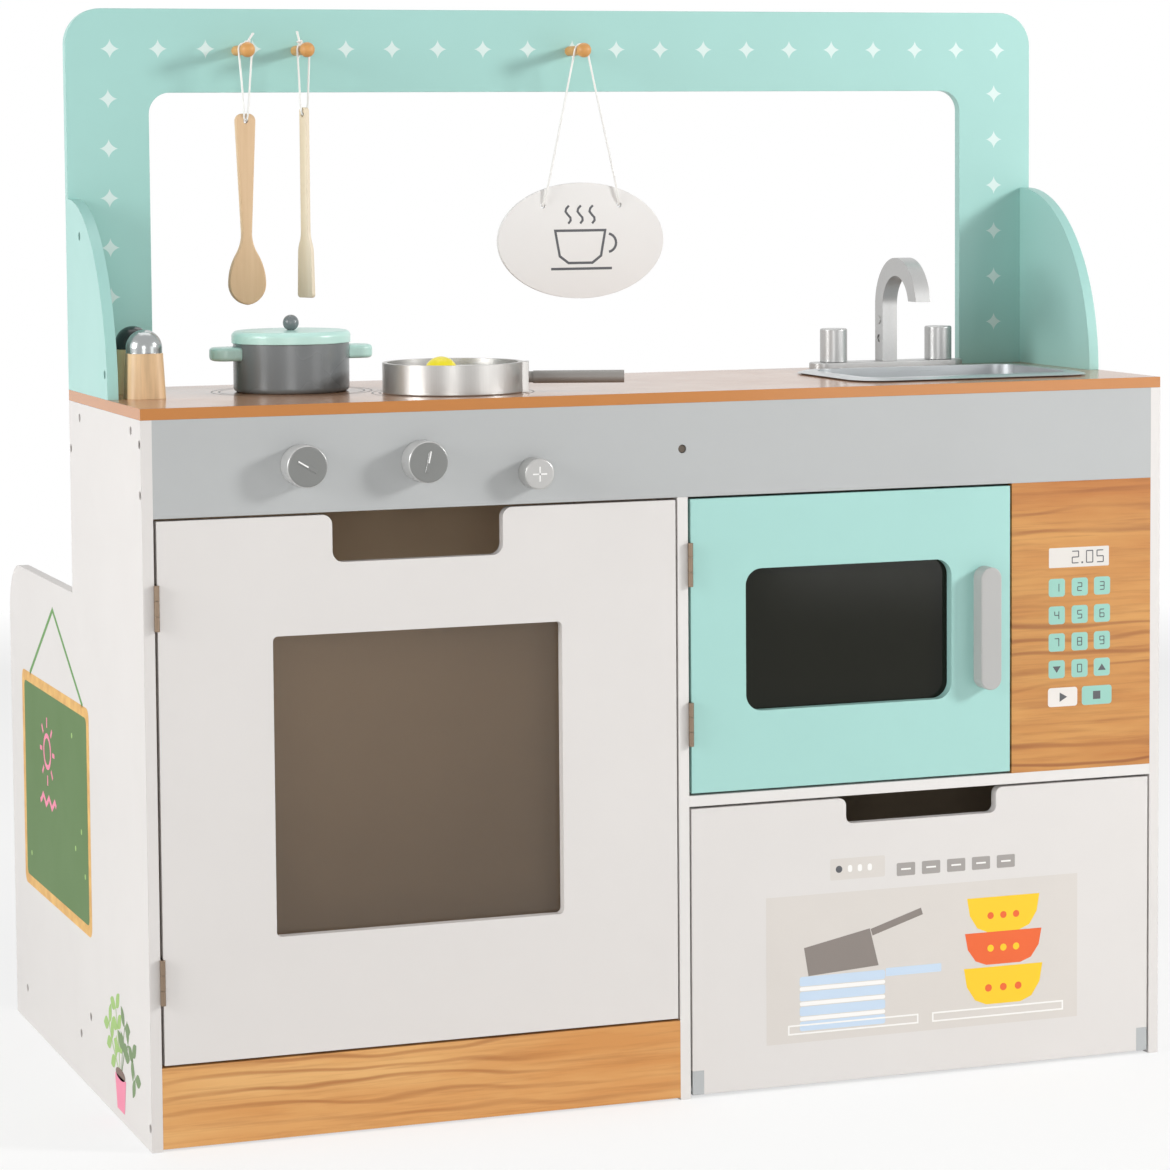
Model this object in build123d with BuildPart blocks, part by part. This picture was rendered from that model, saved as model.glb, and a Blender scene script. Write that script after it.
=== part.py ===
import os
from math import asin, atan2, cos, hypot, radians, sin, tan

from build123d import *

os.makedirs("parts", exist_ok=True)

# Overall sizes in millimetres
overall_width = 888.0
overall_depth = 525.0
counter_height = 585.0
total_height = 902.0
worktop_depth = 257.0
rear_height = 414.0
rear_corner_radius = 45.0
board = 9.0
knob_reach = 21.0

# Main planes, with the origin under the middle of the whole part
half_width = overall_width / 2
inner_half = half_width - board
front_y = (knob_reach - overall_depth) / 2
rear_y = front_y + overall_depth
top_rear_y = front_y + worktop_depth
skin_y = front_y + board
back_panel_y = top_rear_y - board
under_top = counter_height - board

# Divisions of the front
fascia_height = 77.0
divider_x = 5.7
shelf_top = 252.5
plinth_top = 66.5
plinth_lift = 2.0
fascia_bottom = under_top - fascia_height
divider_left = divider_x - board / 2
divider_right = divider_x + board / 2
shelf_bottom = shelf_top - board
keypad_width = 131.3
keypad_left = inner_half - keypad_width

# Gaps round the doors
hinge_gap = 2.4
door_gap = 1.8
sash_gap = 2.0
running_clearance = 0.05
body_gap = 0.3

# Oven door
oven_left = -inner_half + hinge_gap
oven_right = divider_left - door_gap
oven_bottom = plinth_top + sash_gap
oven_top = fascia_bottom - sash_gap
oven_notch_width = 142.0
oven_notch_depth = 38.0
notch_floor_radius = 9.0
notch_lip_radius = 8.0
oven_left_stile = 92.1
oven_right_stile = 98.9
oven_low_rail = 95.0
oven_high_rail = 94.5
oven_window_radius = 4.0
oven_window_width = oven_right - oven_left - oven_left_stile - oven_right_stile
oven_window_height = oven_top - oven_bottom - oven_low_rail - oven_high_rail
oven_window_x = oven_left + oven_left_stile + oven_window_width / 2
oven_window_z = oven_bottom + oven_low_rail + oven_window_height / 2

# Microwave door
micro_left = divider_right + hinge_gap
micro_right = keypad_left - door_gap
micro_bottom = shelf_top + sash_gap
micro_top = fascia_bottom - sash_gap
micro_left_stile = 48.4
micro_right_stile = 54.4
micro_low_rail = 65.2
micro_high_rail = 59.3
micro_window_radius = 14.0
micro_window_width = micro_right - micro_left - micro_left_stile - micro_right_stile
micro_window_height = micro_top - micro_bottom - micro_low_rail - micro_high_rail
micro_window_x = micro_left + micro_left_stile + micro_window_width / 2
micro_window_z = micro_bottom + micro_low_rail + micro_window_height / 2
handle_width = 19.0
handle_height = 103.5
handle_thickness = 15.0
handle_inset = 24.4
handle_x = micro_right - handle_inset
handle_edge = 1.2

# Dishwasher door
dish_left = divider_right + door_gap
dish_right = inner_half - door_gap
dish_bottom = 3.0
dish_top = shelf_bottom - sash_gap
dish_notch_shift = -2.8
dish_notch_x = (dish_left + dish_right) / 2 + dish_notch_shift
dish_notch_width = 138.5
dish_notch_depth = 21.5
dish_notch_radius = 6.0
pivot_width = 10.0
pivot_height = 20.0
pivot_radius = 2.5
pivot_reach = 5.0
pivot_y = skin_y - board / 2
pivot_z = dish_bottom + board / 2

# Window sheets
sheet_thickness = 1.5
sheet_overlap = 8.0

# Butt hinges
hinge_height = 36.0
leaf_thickness = 0.9
knuckle_radius = 2.2
pin_radius = 1.0
knuckle_gap = 0.3
hinge_axis_y = front_y - knuckle_radius - body_gap
oven_hinge_x = -inner_half + hinge_gap / 2
micro_hinge_x = divider_right + hinge_gap / 2
oven_hinge_low = 66.5
oven_hinge_high = 67.5
micro_hinge_low = 57.5
micro_hinge_high = 53.5
oven_hinge_zs = (oven_bottom + oven_hinge_low, oven_top - oven_hinge_high)
micro_hinge_zs = (micro_bottom + micro_hinge_low, micro_top - micro_hinge_high)

# Magnet catches
catch_width = 13.0
catch_depth = 13.0
catch_height = 12.0
strike_thickness = 1.0
strike_width = 10.0
strike_height = 10.0
catch_front = skin_y + strike_thickness + body_gap
oven_catch_drop = 13.0
dish_catch_inset = 83.2
oven_catch_z = oven_top - oven_catch_drop
micro_catch_z = micro_window_z
dish_catch_x = dish_right - dish_catch_inset

# Fasteners
screw_head_radius = 3.2
screw_radius = 2.0
recess_radius = 3.5
head_sink = 1.0
head_length = 3.0
screw_length = 30.0
dowel_radius = 3.4
dowel_length = 5.0
dowel_sink = 1.5
recess_depth = head_sink + head_length
dowel_depth = dowel_sink + dowel_length

# Arch and wings
arch_leg = 70.0
arch_rail = 70.0
arch_outer_radius = 30.0
arch_inner_radius = 18.0
wing_height = 159.0
wing_depth = 136.0

# Pegs for the hanging things
peg_z = total_height - arch_rail / 2
spoon_peg_inset = 146.0
spatula_peg_inset = 197.5
peg_xs = (-half_width + spoon_peg_inset, -half_width + spatula_peg_inset, 0.0)
peg_radius = 4.2
peg_length = 37.0
peg_ball_radius = 6.3
peg_tenon_radius = 3.0
peg_tenon_length = 6.0

# Control knobs
knob_radius = 16.5
knob_drop = 39.0
left_knob_inset = 128.0
middle_knob_inset = 227.0
small_knob_radius = 12.5
small_knob_drop = 52.0
small_knob_inset = 321.0
knob_z = under_top - knob_drop
knob_xs = (-half_width + left_knob_inset, -half_width + middle_knob_inset)
small_knob_x = -half_width + small_knob_inset
small_knob_z = under_top - small_knob_drop
small_knob_reach = 17.0
knob_edge = 1.5
pointer_turns = (-59.0, 12.0)
pointer_width = 2.6
pointer_height = 0.6
spindle_radius = 3.0
spindle_collar = 6.0
spindle_collar_length = 4.0
spindle_bore_depth = 11.0

# Sink and tap fitting
sink_inset = 152.0
sink_x = half_width - sink_inset
sink_width = 222.0
sink_depth = 160.0
sink_front = 35.0
sink_corner = 30.0
sink_flange = 14.0
sink_lip = 3.2
sink_edge_rise = 1.4
sink_undercut = 5.0
sink_slope = 7.0
sink_wall = 1.6
sink_bowl_depth = 42.0
drain_radius = 9.0
cutout_clearance = 0.5
faucet_shift = 5.5
faucet_x = sink_x - faucet_shift
faucet_rear = 41.0
deck_length = 147.0
deck_width = 26.0
deck_thickness = 7.0
faucet_width = 14.0
faucet_band = 16.0
faucet_span = 86.0
faucet_rise = 99.5
spout_rise = 62.0
faucet_top = counter_height + faucet_rise
spout_end = counter_height + spout_rise
faucet_bore_depth = 11.0
faucet_screw_length = 9.0
faucet_edge = 1.0
faucet_screw_rise = 27.0
faucet_cap_rise = 43.5
faucet_screw_z = counter_height + faucet_screw_rise
faucet_cap_z = counter_height + faucet_cap_rise
cap_radius = 3.6
cap_proud = 0.6
cap_depth = 3.0
tap_radius = 12.1
tap_height = 29.5
tap_reach = 51.0
tap_edge = 1.5

# Pot with its lid
pot_inset = 164.5
pot_y = 155.0
pot_radius = 47.8
pot_height = 40.5
pot_wall = 3.0
pot_floor = 5.0
pot_edge = 4.0
pot_handle_reach = 20.5
pot_handle_width = 30.0
pot_handle_height = 11.0
pot_handle_lift = 26.5
pot_handle_round = 12.0
pot_handle_edge = 3.0
lid_radius = 49.0
lid_thickness = 9.8
lid_edge = 4.5
lid_plug_depth = 4.0
lid_ball_radius = 6.6
lid_ball_rise = 6.2
lid_stem_radius = 2.5

# Frying pan with a fried egg
pan_inset = 280.9
pan_y = 82.5
pan_radius = 57.6
pan_height = 24.8
pan_wall = 4.0
pan_floor = 11.0
pan_edge = 1.2
pan_turn = -20.0
pan_lug_reach = 4.6
pan_lug_width = 16.0
pan_handle_length = 74.5
pan_handle_radius = 5.2
pan_collar_radius = 4.6
pan_collar_length = 3.5
pan_tenon_length = 3.0
pan_handle_lift = 12.0
egg_radius = 36.0
egg_lobe_radius = 24.0
egg_lobe_shift = 15.0
egg_thickness = 9.0
egg_edge = 3.5
yolk_radius = 13.2
yolk_rise = 9.5
yolk_shift = 10.0

# Shakers
shaker_base_width = 31.7
shaker_neck_width = 28.5
shaker_corner = 10.0
shaker_body_height = 36.6
shaker_dome_height = 18.8
shaker_dome_radius = 14.6
salt_inset = 32.4
salt_y = 120.0
pepper_inset = 38.5
pepper_y = 186.0

# Spoon, spatula and sign, each hung at a share of the height left free above the worktop
hang_reach = 25.0
hang_room = peg_z - counter_height
tool_length = 160.0
string_hole_radius = 2.2
hole_inset = 6.0
spoon_hang_share = 0.4344
spoon_thickness = 6.0
spoon_handle_width = 17.7
spoon_neck_width = 8.6
spoon_neck_rise = 60.0
spoon_bowl_width = 32.0
spoon_bowl_rise = 17.7
spoon_flare_share = 0.4
spoon_hollow = 2.6
spoon_corner = 6.0
spoon_edge = 1.2
spatula_hang_share = 0.3934
spatula_thickness = 4.0
spatula_handle_width = 9.0
spatula_shoulder_width = 17.2
spatula_blade_width = 19.5
spatula_neck_rise = 56.0
spatula_blade_height = 37.0
spatula_corner = 3.0
spatula_edge = 0.8
spatula_turn = -66.0
sign_hang_share = 0.6247
sign_width = 152.0
sign_height = 100.0
sign_thickness = 4.0
sign_hole_x = 35.0
sign_hole_rise = 30.2
spoon_top = peg_z - spoon_hang_share * (hang_room - tool_length)
spatula_top = peg_z - spatula_hang_share * (hang_room - tool_length)
sign_top = peg_z - sign_hang_share * (hang_room - sign_height)
sign_centre_z = sign_top - sign_height / 2
sign_hole_z = sign_centre_z + sign_hole_rise

# Strings
string_radius = 0.9
string_out = 4.6
string_spread = 1.2
spatula_string_out = 3.7
spatula_end_share = 0.3
string_bow = 0.4
bend_share = 0.45

# Rear side
rear_floor_z = 31.0
rear_shelf_z = 222.0
rear_setback = 9.0

# Screw and dowel places on the side panels and wings
fascia_screw_drops = (19.0, 58.5)
back_screw_drop = 40.0
back_screw_rise = 39.5
floor_screw_setback = 43.0
plinth_screw_rise = 18.6
rear_screw_setback = 48.0
divider_screw_drop = 37.5
front_dowel_inset = 33.0
front_dowel_drop = 10.0
back_dowel_setback = 40.0
back_dowel_drop = 12.0
low_wing_dowel = (127.0, 20.0)
high_wing_dowel = (42.0, 129.0)
floor_screw_y = top_rear_y - floor_screw_setback
back_screw_y = back_panel_y + board / 2
front_screw_y = skin_y - board / 2
fascia_points = tuple((front_screw_y, under_top - drop) for drop in fascia_screw_drops)
back_points = ((back_screw_y, under_top - back_screw_drop), (back_screw_y, back_screw_rise))
oven_floor_points = ((floor_screw_y, plinth_top - board / 2),)
micro_floor_points = ((floor_screw_y, shelf_top - board / 2),)
dish_floor_points = ((floor_screw_y, dish_bottom + board / 2),)
plinth_points = ((front_screw_y, plinth_screw_rise),)
rear_floor_points = ((rear_y - rear_screw_setback, rear_floor_z),)
top_dowel_points = ((front_y + front_dowel_inset, under_top - front_dowel_drop),
                    (top_rear_y - back_dowel_setback, under_top - back_dowel_drop))
wing_dowel_points = tuple((back_panel_y - inset, counter_height + rise)
                          for inset, rise in (low_wing_dowel, high_wing_dowel))
left_screws = fascia_points + back_points + oven_floor_points + plinth_points + rear_floor_points
right_screws = fascia_points + back_points + micro_floor_points + dish_floor_points
right_screws = right_screws + rear_floor_points
fascia_screw_z = under_top - divider_screw_drop


def slab(low, high, mode=Mode.ADD):
    middle = [(a + b) / 2 for a, b in zip(low, high)]
    size = [b - a for a, b in zip(low, high)]
    with Locations(tuple(middle)):
        Box(*size, mode=mode)


def rod(start, way, radius, length, mode=Mode.ADD):
    place = Plane(origin=start, z_dir=way)
    with Locations(place.location):
        Cylinder(radius, length, align=(Align.CENTER, Align.CENTER, Align.MIN), mode=mode)


def screw_bores(side, points):
    for y, z in points:
        start = (side * half_width, y, z)
        rod(start, (-side, 0, 0), screw_radius + running_clearance, screw_length, Mode.SUBTRACT)


def recesses(side, points, depth):
    for y, z in points:
        rod((side * half_width, y, z), (-side, 0, 0), recess_radius, depth, Mode.SUBTRACT)


# Side panels
with BuildPart() as left_side_panel:
    with BuildSketch(Plane.YZ.offset(-half_width)) as panel_outline:
        with BuildLine():
            Polyline((front_y, 0), (front_y, under_top), (top_rear_y, under_top),
                     (top_rear_y, rear_height), (rear_y, rear_height), (rear_y, 0), close=True)
        make_face()
        corner = panel_outline.vertices().sort_by(Axis.X)[-2:].sort_by(Axis.Y)[-1]
        fillet(corner, rear_corner_radius)
    extrude(amount=board)
    screw_bores(-1, left_screws)
    recesses(-1, left_screws, recess_depth)
    recesses(-1, top_dowel_points, dowel_depth)
left_side_panel.part.label = "left_side_panel"
export_step(left_side_panel.part, "parts/left_side_panel.step")

with BuildPart() as right_side_panel:
    with BuildSketch(Plane.YZ.offset(inner_half)) as panel_outline:
        with BuildLine():
            Polyline((front_y, 0), (front_y, under_top), (top_rear_y, under_top),
                     (top_rear_y, rear_height), (rear_y, rear_height), (rear_y, 0), close=True)
        make_face()
        corner = panel_outline.vertices().sort_by(Axis.X)[-2:].sort_by(Axis.Y)[-1]
        fillet(corner, rear_corner_radius)
    extrude(amount=board)
    screw_bores(1, right_screws)
    recesses(1, right_screws, recess_depth)
    recesses(1, top_dowel_points, dowel_depth)
    rod((inner_half, pivot_y, pivot_z), (1, 0, 0), pivot_radius + running_clearance,
        pivot_reach + body_gap, Mode.SUBTRACT)
right_side_panel.part.label = "right_side_panel"
export_step(right_side_panel.part, "parts/right_side_panel.step")

# Worktop with the sink cutout
sink_centre_y = front_y + sink_front + sink_depth / 2
bowl_width = sink_width - 2 * sink_flange
bowl_depth = sink_depth - 2 * sink_flange
bowl_corner = sink_corner - sink_flange / 2
with BuildPart() as worktop:
    slab((-half_width, front_y, under_top), (half_width, top_rear_y, counter_height))
    with BuildSketch(Plane.XY.offset(under_top)):
        with Locations((sink_x, sink_centre_y)):
            RectangleRounded(bowl_width + 2 * cutout_clearance, bowl_depth + 2 * cutout_clearance,
                             bowl_corner + cutout_clearance)
    extrude(amount=board, mode=Mode.SUBTRACT)
worktop.part.label = "worktop"
export_step(worktop.part, "parts/worktop.step")

# Control fascia
with BuildPart() as control_fascia:
    slab((-inner_half, front_y, fascia_bottom), (inner_half, skin_y, under_top))
    for x in knob_xs:
        rod((x, front_y, knob_z), (0, 1, 0), spindle_radius + running_clearance, board, Mode.SUBTRACT)
    rod((small_knob_x, front_y, small_knob_z), (0, 1, 0), spindle_radius + running_clearance, board,
        Mode.SUBTRACT)
    screw_bores(-1, fascia_points)
    screw_bores(1, fascia_points)
    rod((divider_x, front_y, fascia_screw_z), (0, 1, 0), recess_radius, recess_depth, Mode.SUBTRACT)
    rod((divider_x, front_y, fascia_screw_z), (0, 1, 0), screw_radius + running_clearance, board,
        Mode.SUBTRACT)
control_fascia.part.label = "control_fascia"
export_step(control_fascia.part, "parts/control_fascia.step")

# Centre divider
with BuildPart() as centre_divider:
    with BuildSketch(Plane.YZ.offset(divider_left)):
        with BuildLine():
            Polyline((front_y, 0), (front_y, fascia_bottom), (skin_y, fascia_bottom),
                     (skin_y, under_top), (back_panel_y, under_top), (back_panel_y, 0), close=True)
        make_face()
    extrude(amount=board)
    rod((divider_x, skin_y, fascia_screw_z), (0, 1, 0), screw_radius + running_clearance,
        screw_length - board, Mode.SUBTRACT)
    rod((divider_right, pivot_y, pivot_z), (-1, 0, 0), pivot_radius + running_clearance,
        pivot_reach + body_gap, Mode.SUBTRACT)
centre_divider.part.label = "centre_divider"
export_step(centre_divider.part, "parts/centre_divider.step")

# Plinth and inner floors
with BuildPart() as plinth:
    slab((-inner_half, front_y, plinth_lift), (divider_left, skin_y, plinth_top))
    screw_bores(-1, plinth_points)
plinth.part.label = "plinth"
export_step(plinth.part, "parts/plinth.step")

with BuildPart() as oven_floor:
    slab((-inner_half, skin_y, plinth_top - board), (divider_left, back_panel_y, plinth_top))
    screw_bores(-1, oven_floor_points)
oven_floor.part.label = "oven_floor"
export_step(oven_floor.part, "parts/oven_floor.step")

with BuildPart() as microwave_floor:
    slab((divider_right, front_y, shelf_bottom), (inner_half, back_panel_y, shelf_top))
    screw_bores(1, micro_floor_points)
microwave_floor.part.label = "microwave_floor"
export_step(microwave_floor.part, "parts/microwave_floor.step")

dish_floor_front = skin_y + board / 2
with BuildPart() as dishwasher_floor:
    slab((divider_right, dish_floor_front, dish_bottom), (inner_half, back_panel_y, dish_bottom + board))
    screw_bores(1, dish_floor_points)
dishwasher_floor.part.label = "dishwasher_floor"
export_step(dishwasher_floor.part, "parts/dishwasher_floor.step")

# Back panel and keypad panel
with BuildPart() as kitchen_back_panel:
    slab((-inner_half, back_panel_y, 0), (inner_half, top_rear_y, under_top))
    screw_bores(-1, back_points)
    screw_bores(1, back_points)
kitchen_back_panel.part.label = "kitchen_back_panel"
export_step(kitchen_back_panel.part, "parts/kitchen_back_panel.step")

with BuildPart() as keypad_panel:
    slab((keypad_left, front_y, shelf_top), (inner_half, skin_y, fascia_bottom))
keypad_panel.part.label = "keypad_panel"
export_step(keypad_panel.part, "parts/keypad_panel.step")

# Boards of the rear side
with BuildPart() as rear_floor:
    slab((-inner_half, top_rear_y, rear_floor_z - board / 2),
         (inner_half, rear_y - rear_setback, rear_floor_z + board / 2))
    screw_bores(-1, rear_floor_points)
    screw_bores(1, rear_floor_points)
rear_floor.part.label = "rear_floor"
export_step(rear_floor.part, "parts/rear_floor.step")

with BuildPart() as rear_shelf:
    slab((-inner_half, top_rear_y, rear_shelf_z - board / 2),
         (inner_half, rear_y - rear_setback, rear_shelf_z + board / 2))
rear_shelf.part.label = "rear_shelf"
export_step(rear_shelf.part, "parts/rear_shelf.step")

# Arch with its peg sockets
arch_height = total_height - counter_height
window_half = half_width - arch_leg
window_height = arch_height - arch_rail
with BuildPart() as arch_panel:
    with BuildSketch(Plane.XZ.offset(-back_panel_y)) as arch_outline:
        with Locations((0, counter_height + arch_height / 2)):
            Rectangle(overall_width, arch_height)
        with Locations((0, counter_height + window_height / 2)):
            Rectangle(2 * window_half, window_height, mode=Mode.SUBTRACT)
        outer = arch_outline.vertices().group_by(Axis.Y)[-1]
        fillet(outer, arch_outer_radius)
        inner = [v for v in arch_outline.vertices().sort_by(Axis.Y)
                 if abs(v.X) < half_width - arch_leg / 2 and v.Y > counter_height + window_height / 2]
        fillet([v for v in inner if v.Y < total_height - arch_rail / 2], arch_inner_radius)
    extrude(amount=-board)
    for x in peg_xs:
        rod((x, back_panel_y, peg_z), (0, 1, 0), peg_tenon_radius, peg_tenon_length, Mode.SUBTRACT)
arch_panel.part.label = "arch_panel"
export_step(arch_panel.part, "parts/arch_panel.step")

# Curved wings at both ends of the worktop
with BuildPart() as left_wing:
    with BuildSketch(Plane.YZ.offset(-half_width)):
        with Locations((back_panel_y, counter_height)):
            Ellipse(wing_depth, wing_height)
            Rectangle(wing_depth, wing_height, align=(Align.MAX, Align.MIN), mode=Mode.INTERSECT)
    extrude(amount=board)
    recesses(-1, wing_dowel_points, dowel_depth)
left_wing.part.label = "left_wing"
export_step(left_wing.part, "parts/left_wing.step")

with BuildPart() as right_wing:
    with BuildSketch(Plane.YZ.offset(inner_half)):
        with Locations((back_panel_y, counter_height)):
            Ellipse(wing_depth, wing_height)
            Rectangle(wing_depth, wing_height, align=(Align.MAX, Align.MIN), mode=Mode.INTERSECT)
    extrude(amount=board)
    recesses(1, wing_dowel_points, dowel_depth)
right_wing.part.label = "right_wing"
export_step(right_wing.part, "parts/right_wing.step")

# Turned pegs
ball_y = back_panel_y - peg_length
with BuildPart() as utensil_pegs:
    for x in peg_xs:
        rod((x, ball_y, peg_z), (0, 1, 0), peg_radius, peg_length)
        rod((x, back_panel_y, peg_z), (0, 1, 0), peg_tenon_radius, peg_tenon_length)
        with Locations((x, ball_y, peg_z)):
            Sphere(peg_ball_radius)
utensil_pegs.part.label = "utensil_pegs"
export_step(utensil_pegs.part, "parts/utensil_pegs.step")

# Screws and cross dowels that hold the boards
with BuildPart() as panel_fasteners:
    for side, points in ((-1, left_screws), (1, right_screws)):
        for y, z in points:
            head_x = side * (half_width - head_sink)
            rod((head_x, y, z), (-side, 0, 0), screw_head_radius, head_length)
            rod((head_x, y, z), (-side, 0, 0), screw_radius, screw_length - 2 * head_sink)
        for y, z in top_dowel_points + wing_dowel_points:
            rod((side * (half_width - dowel_sink), y, z), (-side, 0, 0), dowel_radius, dowel_length)
    rod((divider_x, front_y + head_sink, fascia_screw_z), (0, 1, 0), screw_head_radius, head_length)
    rod((divider_x, front_y + head_sink, fascia_screw_z), (0, 1, 0), screw_radius,
        screw_length - 2 * head_sink)
panel_fasteners.part.label = "panel_fasteners"
export_step(panel_fasteners.part, "parts/panel_fasteners.step")

# Oven door and its window
oven_height = oven_top - oven_bottom
with BuildPart() as oven_door:
    with BuildSketch(Plane.XZ.offset(-front_y)) as door_outline:
        with Locations(((oven_left + oven_right) / 2, (oven_bottom + oven_top) / 2)):
            Rectangle(oven_right - oven_left, oven_height)
        with Locations((oven_window_x, oven_top)):
            Rectangle(oven_notch_width, 2 * oven_notch_depth, mode=Mode.SUBTRACT)
        floor_ends = [v for v in door_outline.vertices() if abs(v.Y - oven_top + oven_notch_depth) < 1]
        fillet(floor_ends, notch_floor_radius)
        lips = [v for v in door_outline.vertices()
                if v.Y > oven_top - 1 and abs(v.X - oven_window_x) < oven_notch_width / 2 + 1]
        fillet(lips, notch_lip_radius)
        with Locations((oven_window_x, oven_window_z)):
            RectangleRounded(oven_window_width, oven_window_height, oven_window_radius,
                             mode=Mode.SUBTRACT)
    extrude(amount=-board)
oven_door.part.label = "oven_door"
export_step(oven_door.part, "parts/oven_door.step")

with BuildPart() as oven_window:
    with BuildSketch(Plane.XZ.offset(-skin_y)):
        with Locations((oven_window_x, oven_window_z)):
            RectangleRounded(oven_window_width + 2 * sheet_overlap,
                             oven_window_height + 2 * sheet_overlap, oven_window_radius)
    extrude(amount=-sheet_thickness)
oven_window.part.label = "oven_window"
export_step(oven_window.part, "parts/oven_window.step")

# Microwave door with its window and handle
with BuildPart() as microwave_door:
    with BuildSketch(Plane.XZ.offset(-front_y)):
        with Locations(((micro_left + micro_right) / 2, (micro_bottom + micro_top) / 2)):
            Rectangle(micro_right - micro_left, micro_top - micro_bottom)
        with Locations((micro_window_x, micro_window_z)):
            RectangleRounded(micro_window_width, micro_window_height, micro_window_radius,
                             mode=Mode.SUBTRACT)
    extrude(amount=-board)
microwave_door.part.label = "microwave_door"
export_step(microwave_door.part, "parts/microwave_door.step")

with BuildPart() as microwave_window:
    with BuildSketch(Plane.XZ.offset(-skin_y)):
        with Locations((micro_window_x, micro_window_z)):
            RectangleRounded(micro_window_width + 2 * sheet_overlap,
                             micro_window_height + 2 * sheet_overlap, micro_window_radius)
    extrude(amount=-sheet_thickness)
microwave_window.part.label = "microwave_window"
export_step(microwave_window.part, "parts/microwave_window.step")

with BuildPart() as microwave_handle:
    with BuildSketch(Plane.XZ.offset(-front_y)):
        with Locations((handle_x, micro_window_z)):
            SlotOverall(handle_height, handle_width, rotation=90)
    extrude(amount=handle_thickness)
    fillet(microwave_handle.edges().group_by(Axis.Y)[0], handle_edge)
microwave_handle.part.label = "microwave_handle"
export_step(microwave_handle.part, "parts/microwave_handle.step")

# Dishwasher door with its two pivot pieces
with BuildPart() as dishwasher_door:
    with BuildSketch(Plane.XZ.offset(-front_y)) as dish_outline:
        with Locations(((dish_left + dish_right) / 2, (dish_bottom + dish_top) / 2)):
            Rectangle(dish_right - dish_left, dish_top - dish_bottom)
        with Locations((dish_notch_x, dish_top)):
            Rectangle(dish_notch_width, 2 * dish_notch_depth, mode=Mode.SUBTRACT)
        floor_ends = [v for v in dish_outline.vertices() if abs(v.Y - dish_top + dish_notch_depth) < 1]
        fillet(floor_ends, dish_notch_radius)
        lips = [v for v in dish_outline.vertices()
                if v.Y > dish_top - 1 and abs(v.X - dish_notch_x) < dish_notch_width / 2 + 1]
        fillet(lips, dish_notch_radius)
        with Locations((dish_left, dish_bottom), (dish_right, dish_bottom)):
            Rectangle(2 * pivot_width, 2 * pivot_height, mode=Mode.SUBTRACT)
    extrude(amount=-board)
dishwasher_door.part.label = "dishwasher_door"
export_step(dishwasher_door.part, "parts/dishwasher_door.step")

with BuildPart() as dishwasher_pivots:
    for edge_x, side in ((dish_left, 1), (dish_right, -1)):
        far_x = edge_x + side * pivot_width
        low_x = min(edge_x, far_x)
        slab((low_x, front_y, dish_bottom), (low_x + pivot_width, skin_y, dish_bottom + pivot_height))
        rod((edge_x, pivot_y, pivot_z), (-side, 0, 0), pivot_radius, door_gap + pivot_reach)
dishwasher_pivots.part.label = "dishwasher_pivots"
export_step(dishwasher_pivots.part, "parts/dishwasher_pivots.step")

# Hinge leaves on the frame, one knuckle in the middle
knuckle_length = hinge_height / 3
with BuildPart() as hinge_frame_leaves:
    for axis_x, heights in ((oven_hinge_x, oven_hinge_zs), (micro_hinge_x, micro_hinge_zs)):
        for z in heights:
            leaf_x = axis_x - hinge_gap / 2
            low_z = z - hinge_height / 2
            knuckle_low = z - knuckle_length / 2
            slab((leaf_x, front_y, low_z), (leaf_x + leaf_thickness, skin_y, low_z + hinge_height))
            slab((leaf_x, hinge_axis_y, knuckle_low),
                 (leaf_x + leaf_thickness, front_y, knuckle_low + knuckle_length))
            rod((axis_x, hinge_axis_y, knuckle_low), (0, 0, 1), knuckle_radius, knuckle_length)
            rod((axis_x, hinge_axis_y, knuckle_low), (0, 0, 1), pin_radius + running_clearance,
                knuckle_length, Mode.SUBTRACT)
hinge_frame_leaves.part.label = "hinge_frame_leaves"
export_step(hinge_frame_leaves.part, "parts/hinge_frame_leaves.step")

with BuildPart() as hinge_pins:
    for axis_x, heights in ((oven_hinge_x, oven_hinge_zs), (micro_hinge_x, micro_hinge_zs)):
        for z in heights:
            rod((axis_x, hinge_axis_y, z - hinge_height / 2), (0, 0, 1), pin_radius, hinge_height)
hinge_pins.part.label = "hinge_pins"
export_step(hinge_pins.part, "parts/hinge_pins.step")

# Hinge leaves on the doors, a knuckle at each end
outer_knuckle = knuckle_length - knuckle_gap
with BuildPart() as oven_hinge_leaves:
    for z in oven_hinge_zs:
        leaf_x = oven_hinge_x + hinge_gap / 2 - leaf_thickness
        low_z = z - hinge_height / 2
        slab((leaf_x, front_y, low_z), (leaf_x + leaf_thickness, skin_y, low_z + hinge_height))
        for knuckle_low in (low_z, low_z + hinge_height - outer_knuckle):
            slab((leaf_x, hinge_axis_y, knuckle_low),
                 (leaf_x + leaf_thickness, front_y, knuckle_low + outer_knuckle))
            rod((oven_hinge_x, hinge_axis_y, knuckle_low), (0, 0, 1), knuckle_radius, outer_knuckle)
            rod((oven_hinge_x, hinge_axis_y, knuckle_low), (0, 0, 1), pin_radius + running_clearance,
                outer_knuckle, Mode.SUBTRACT)
oven_hinge_leaves.part.label = "oven_hinge_leaves"
export_step(oven_hinge_leaves.part, "parts/oven_hinge_leaves.step")

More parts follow.
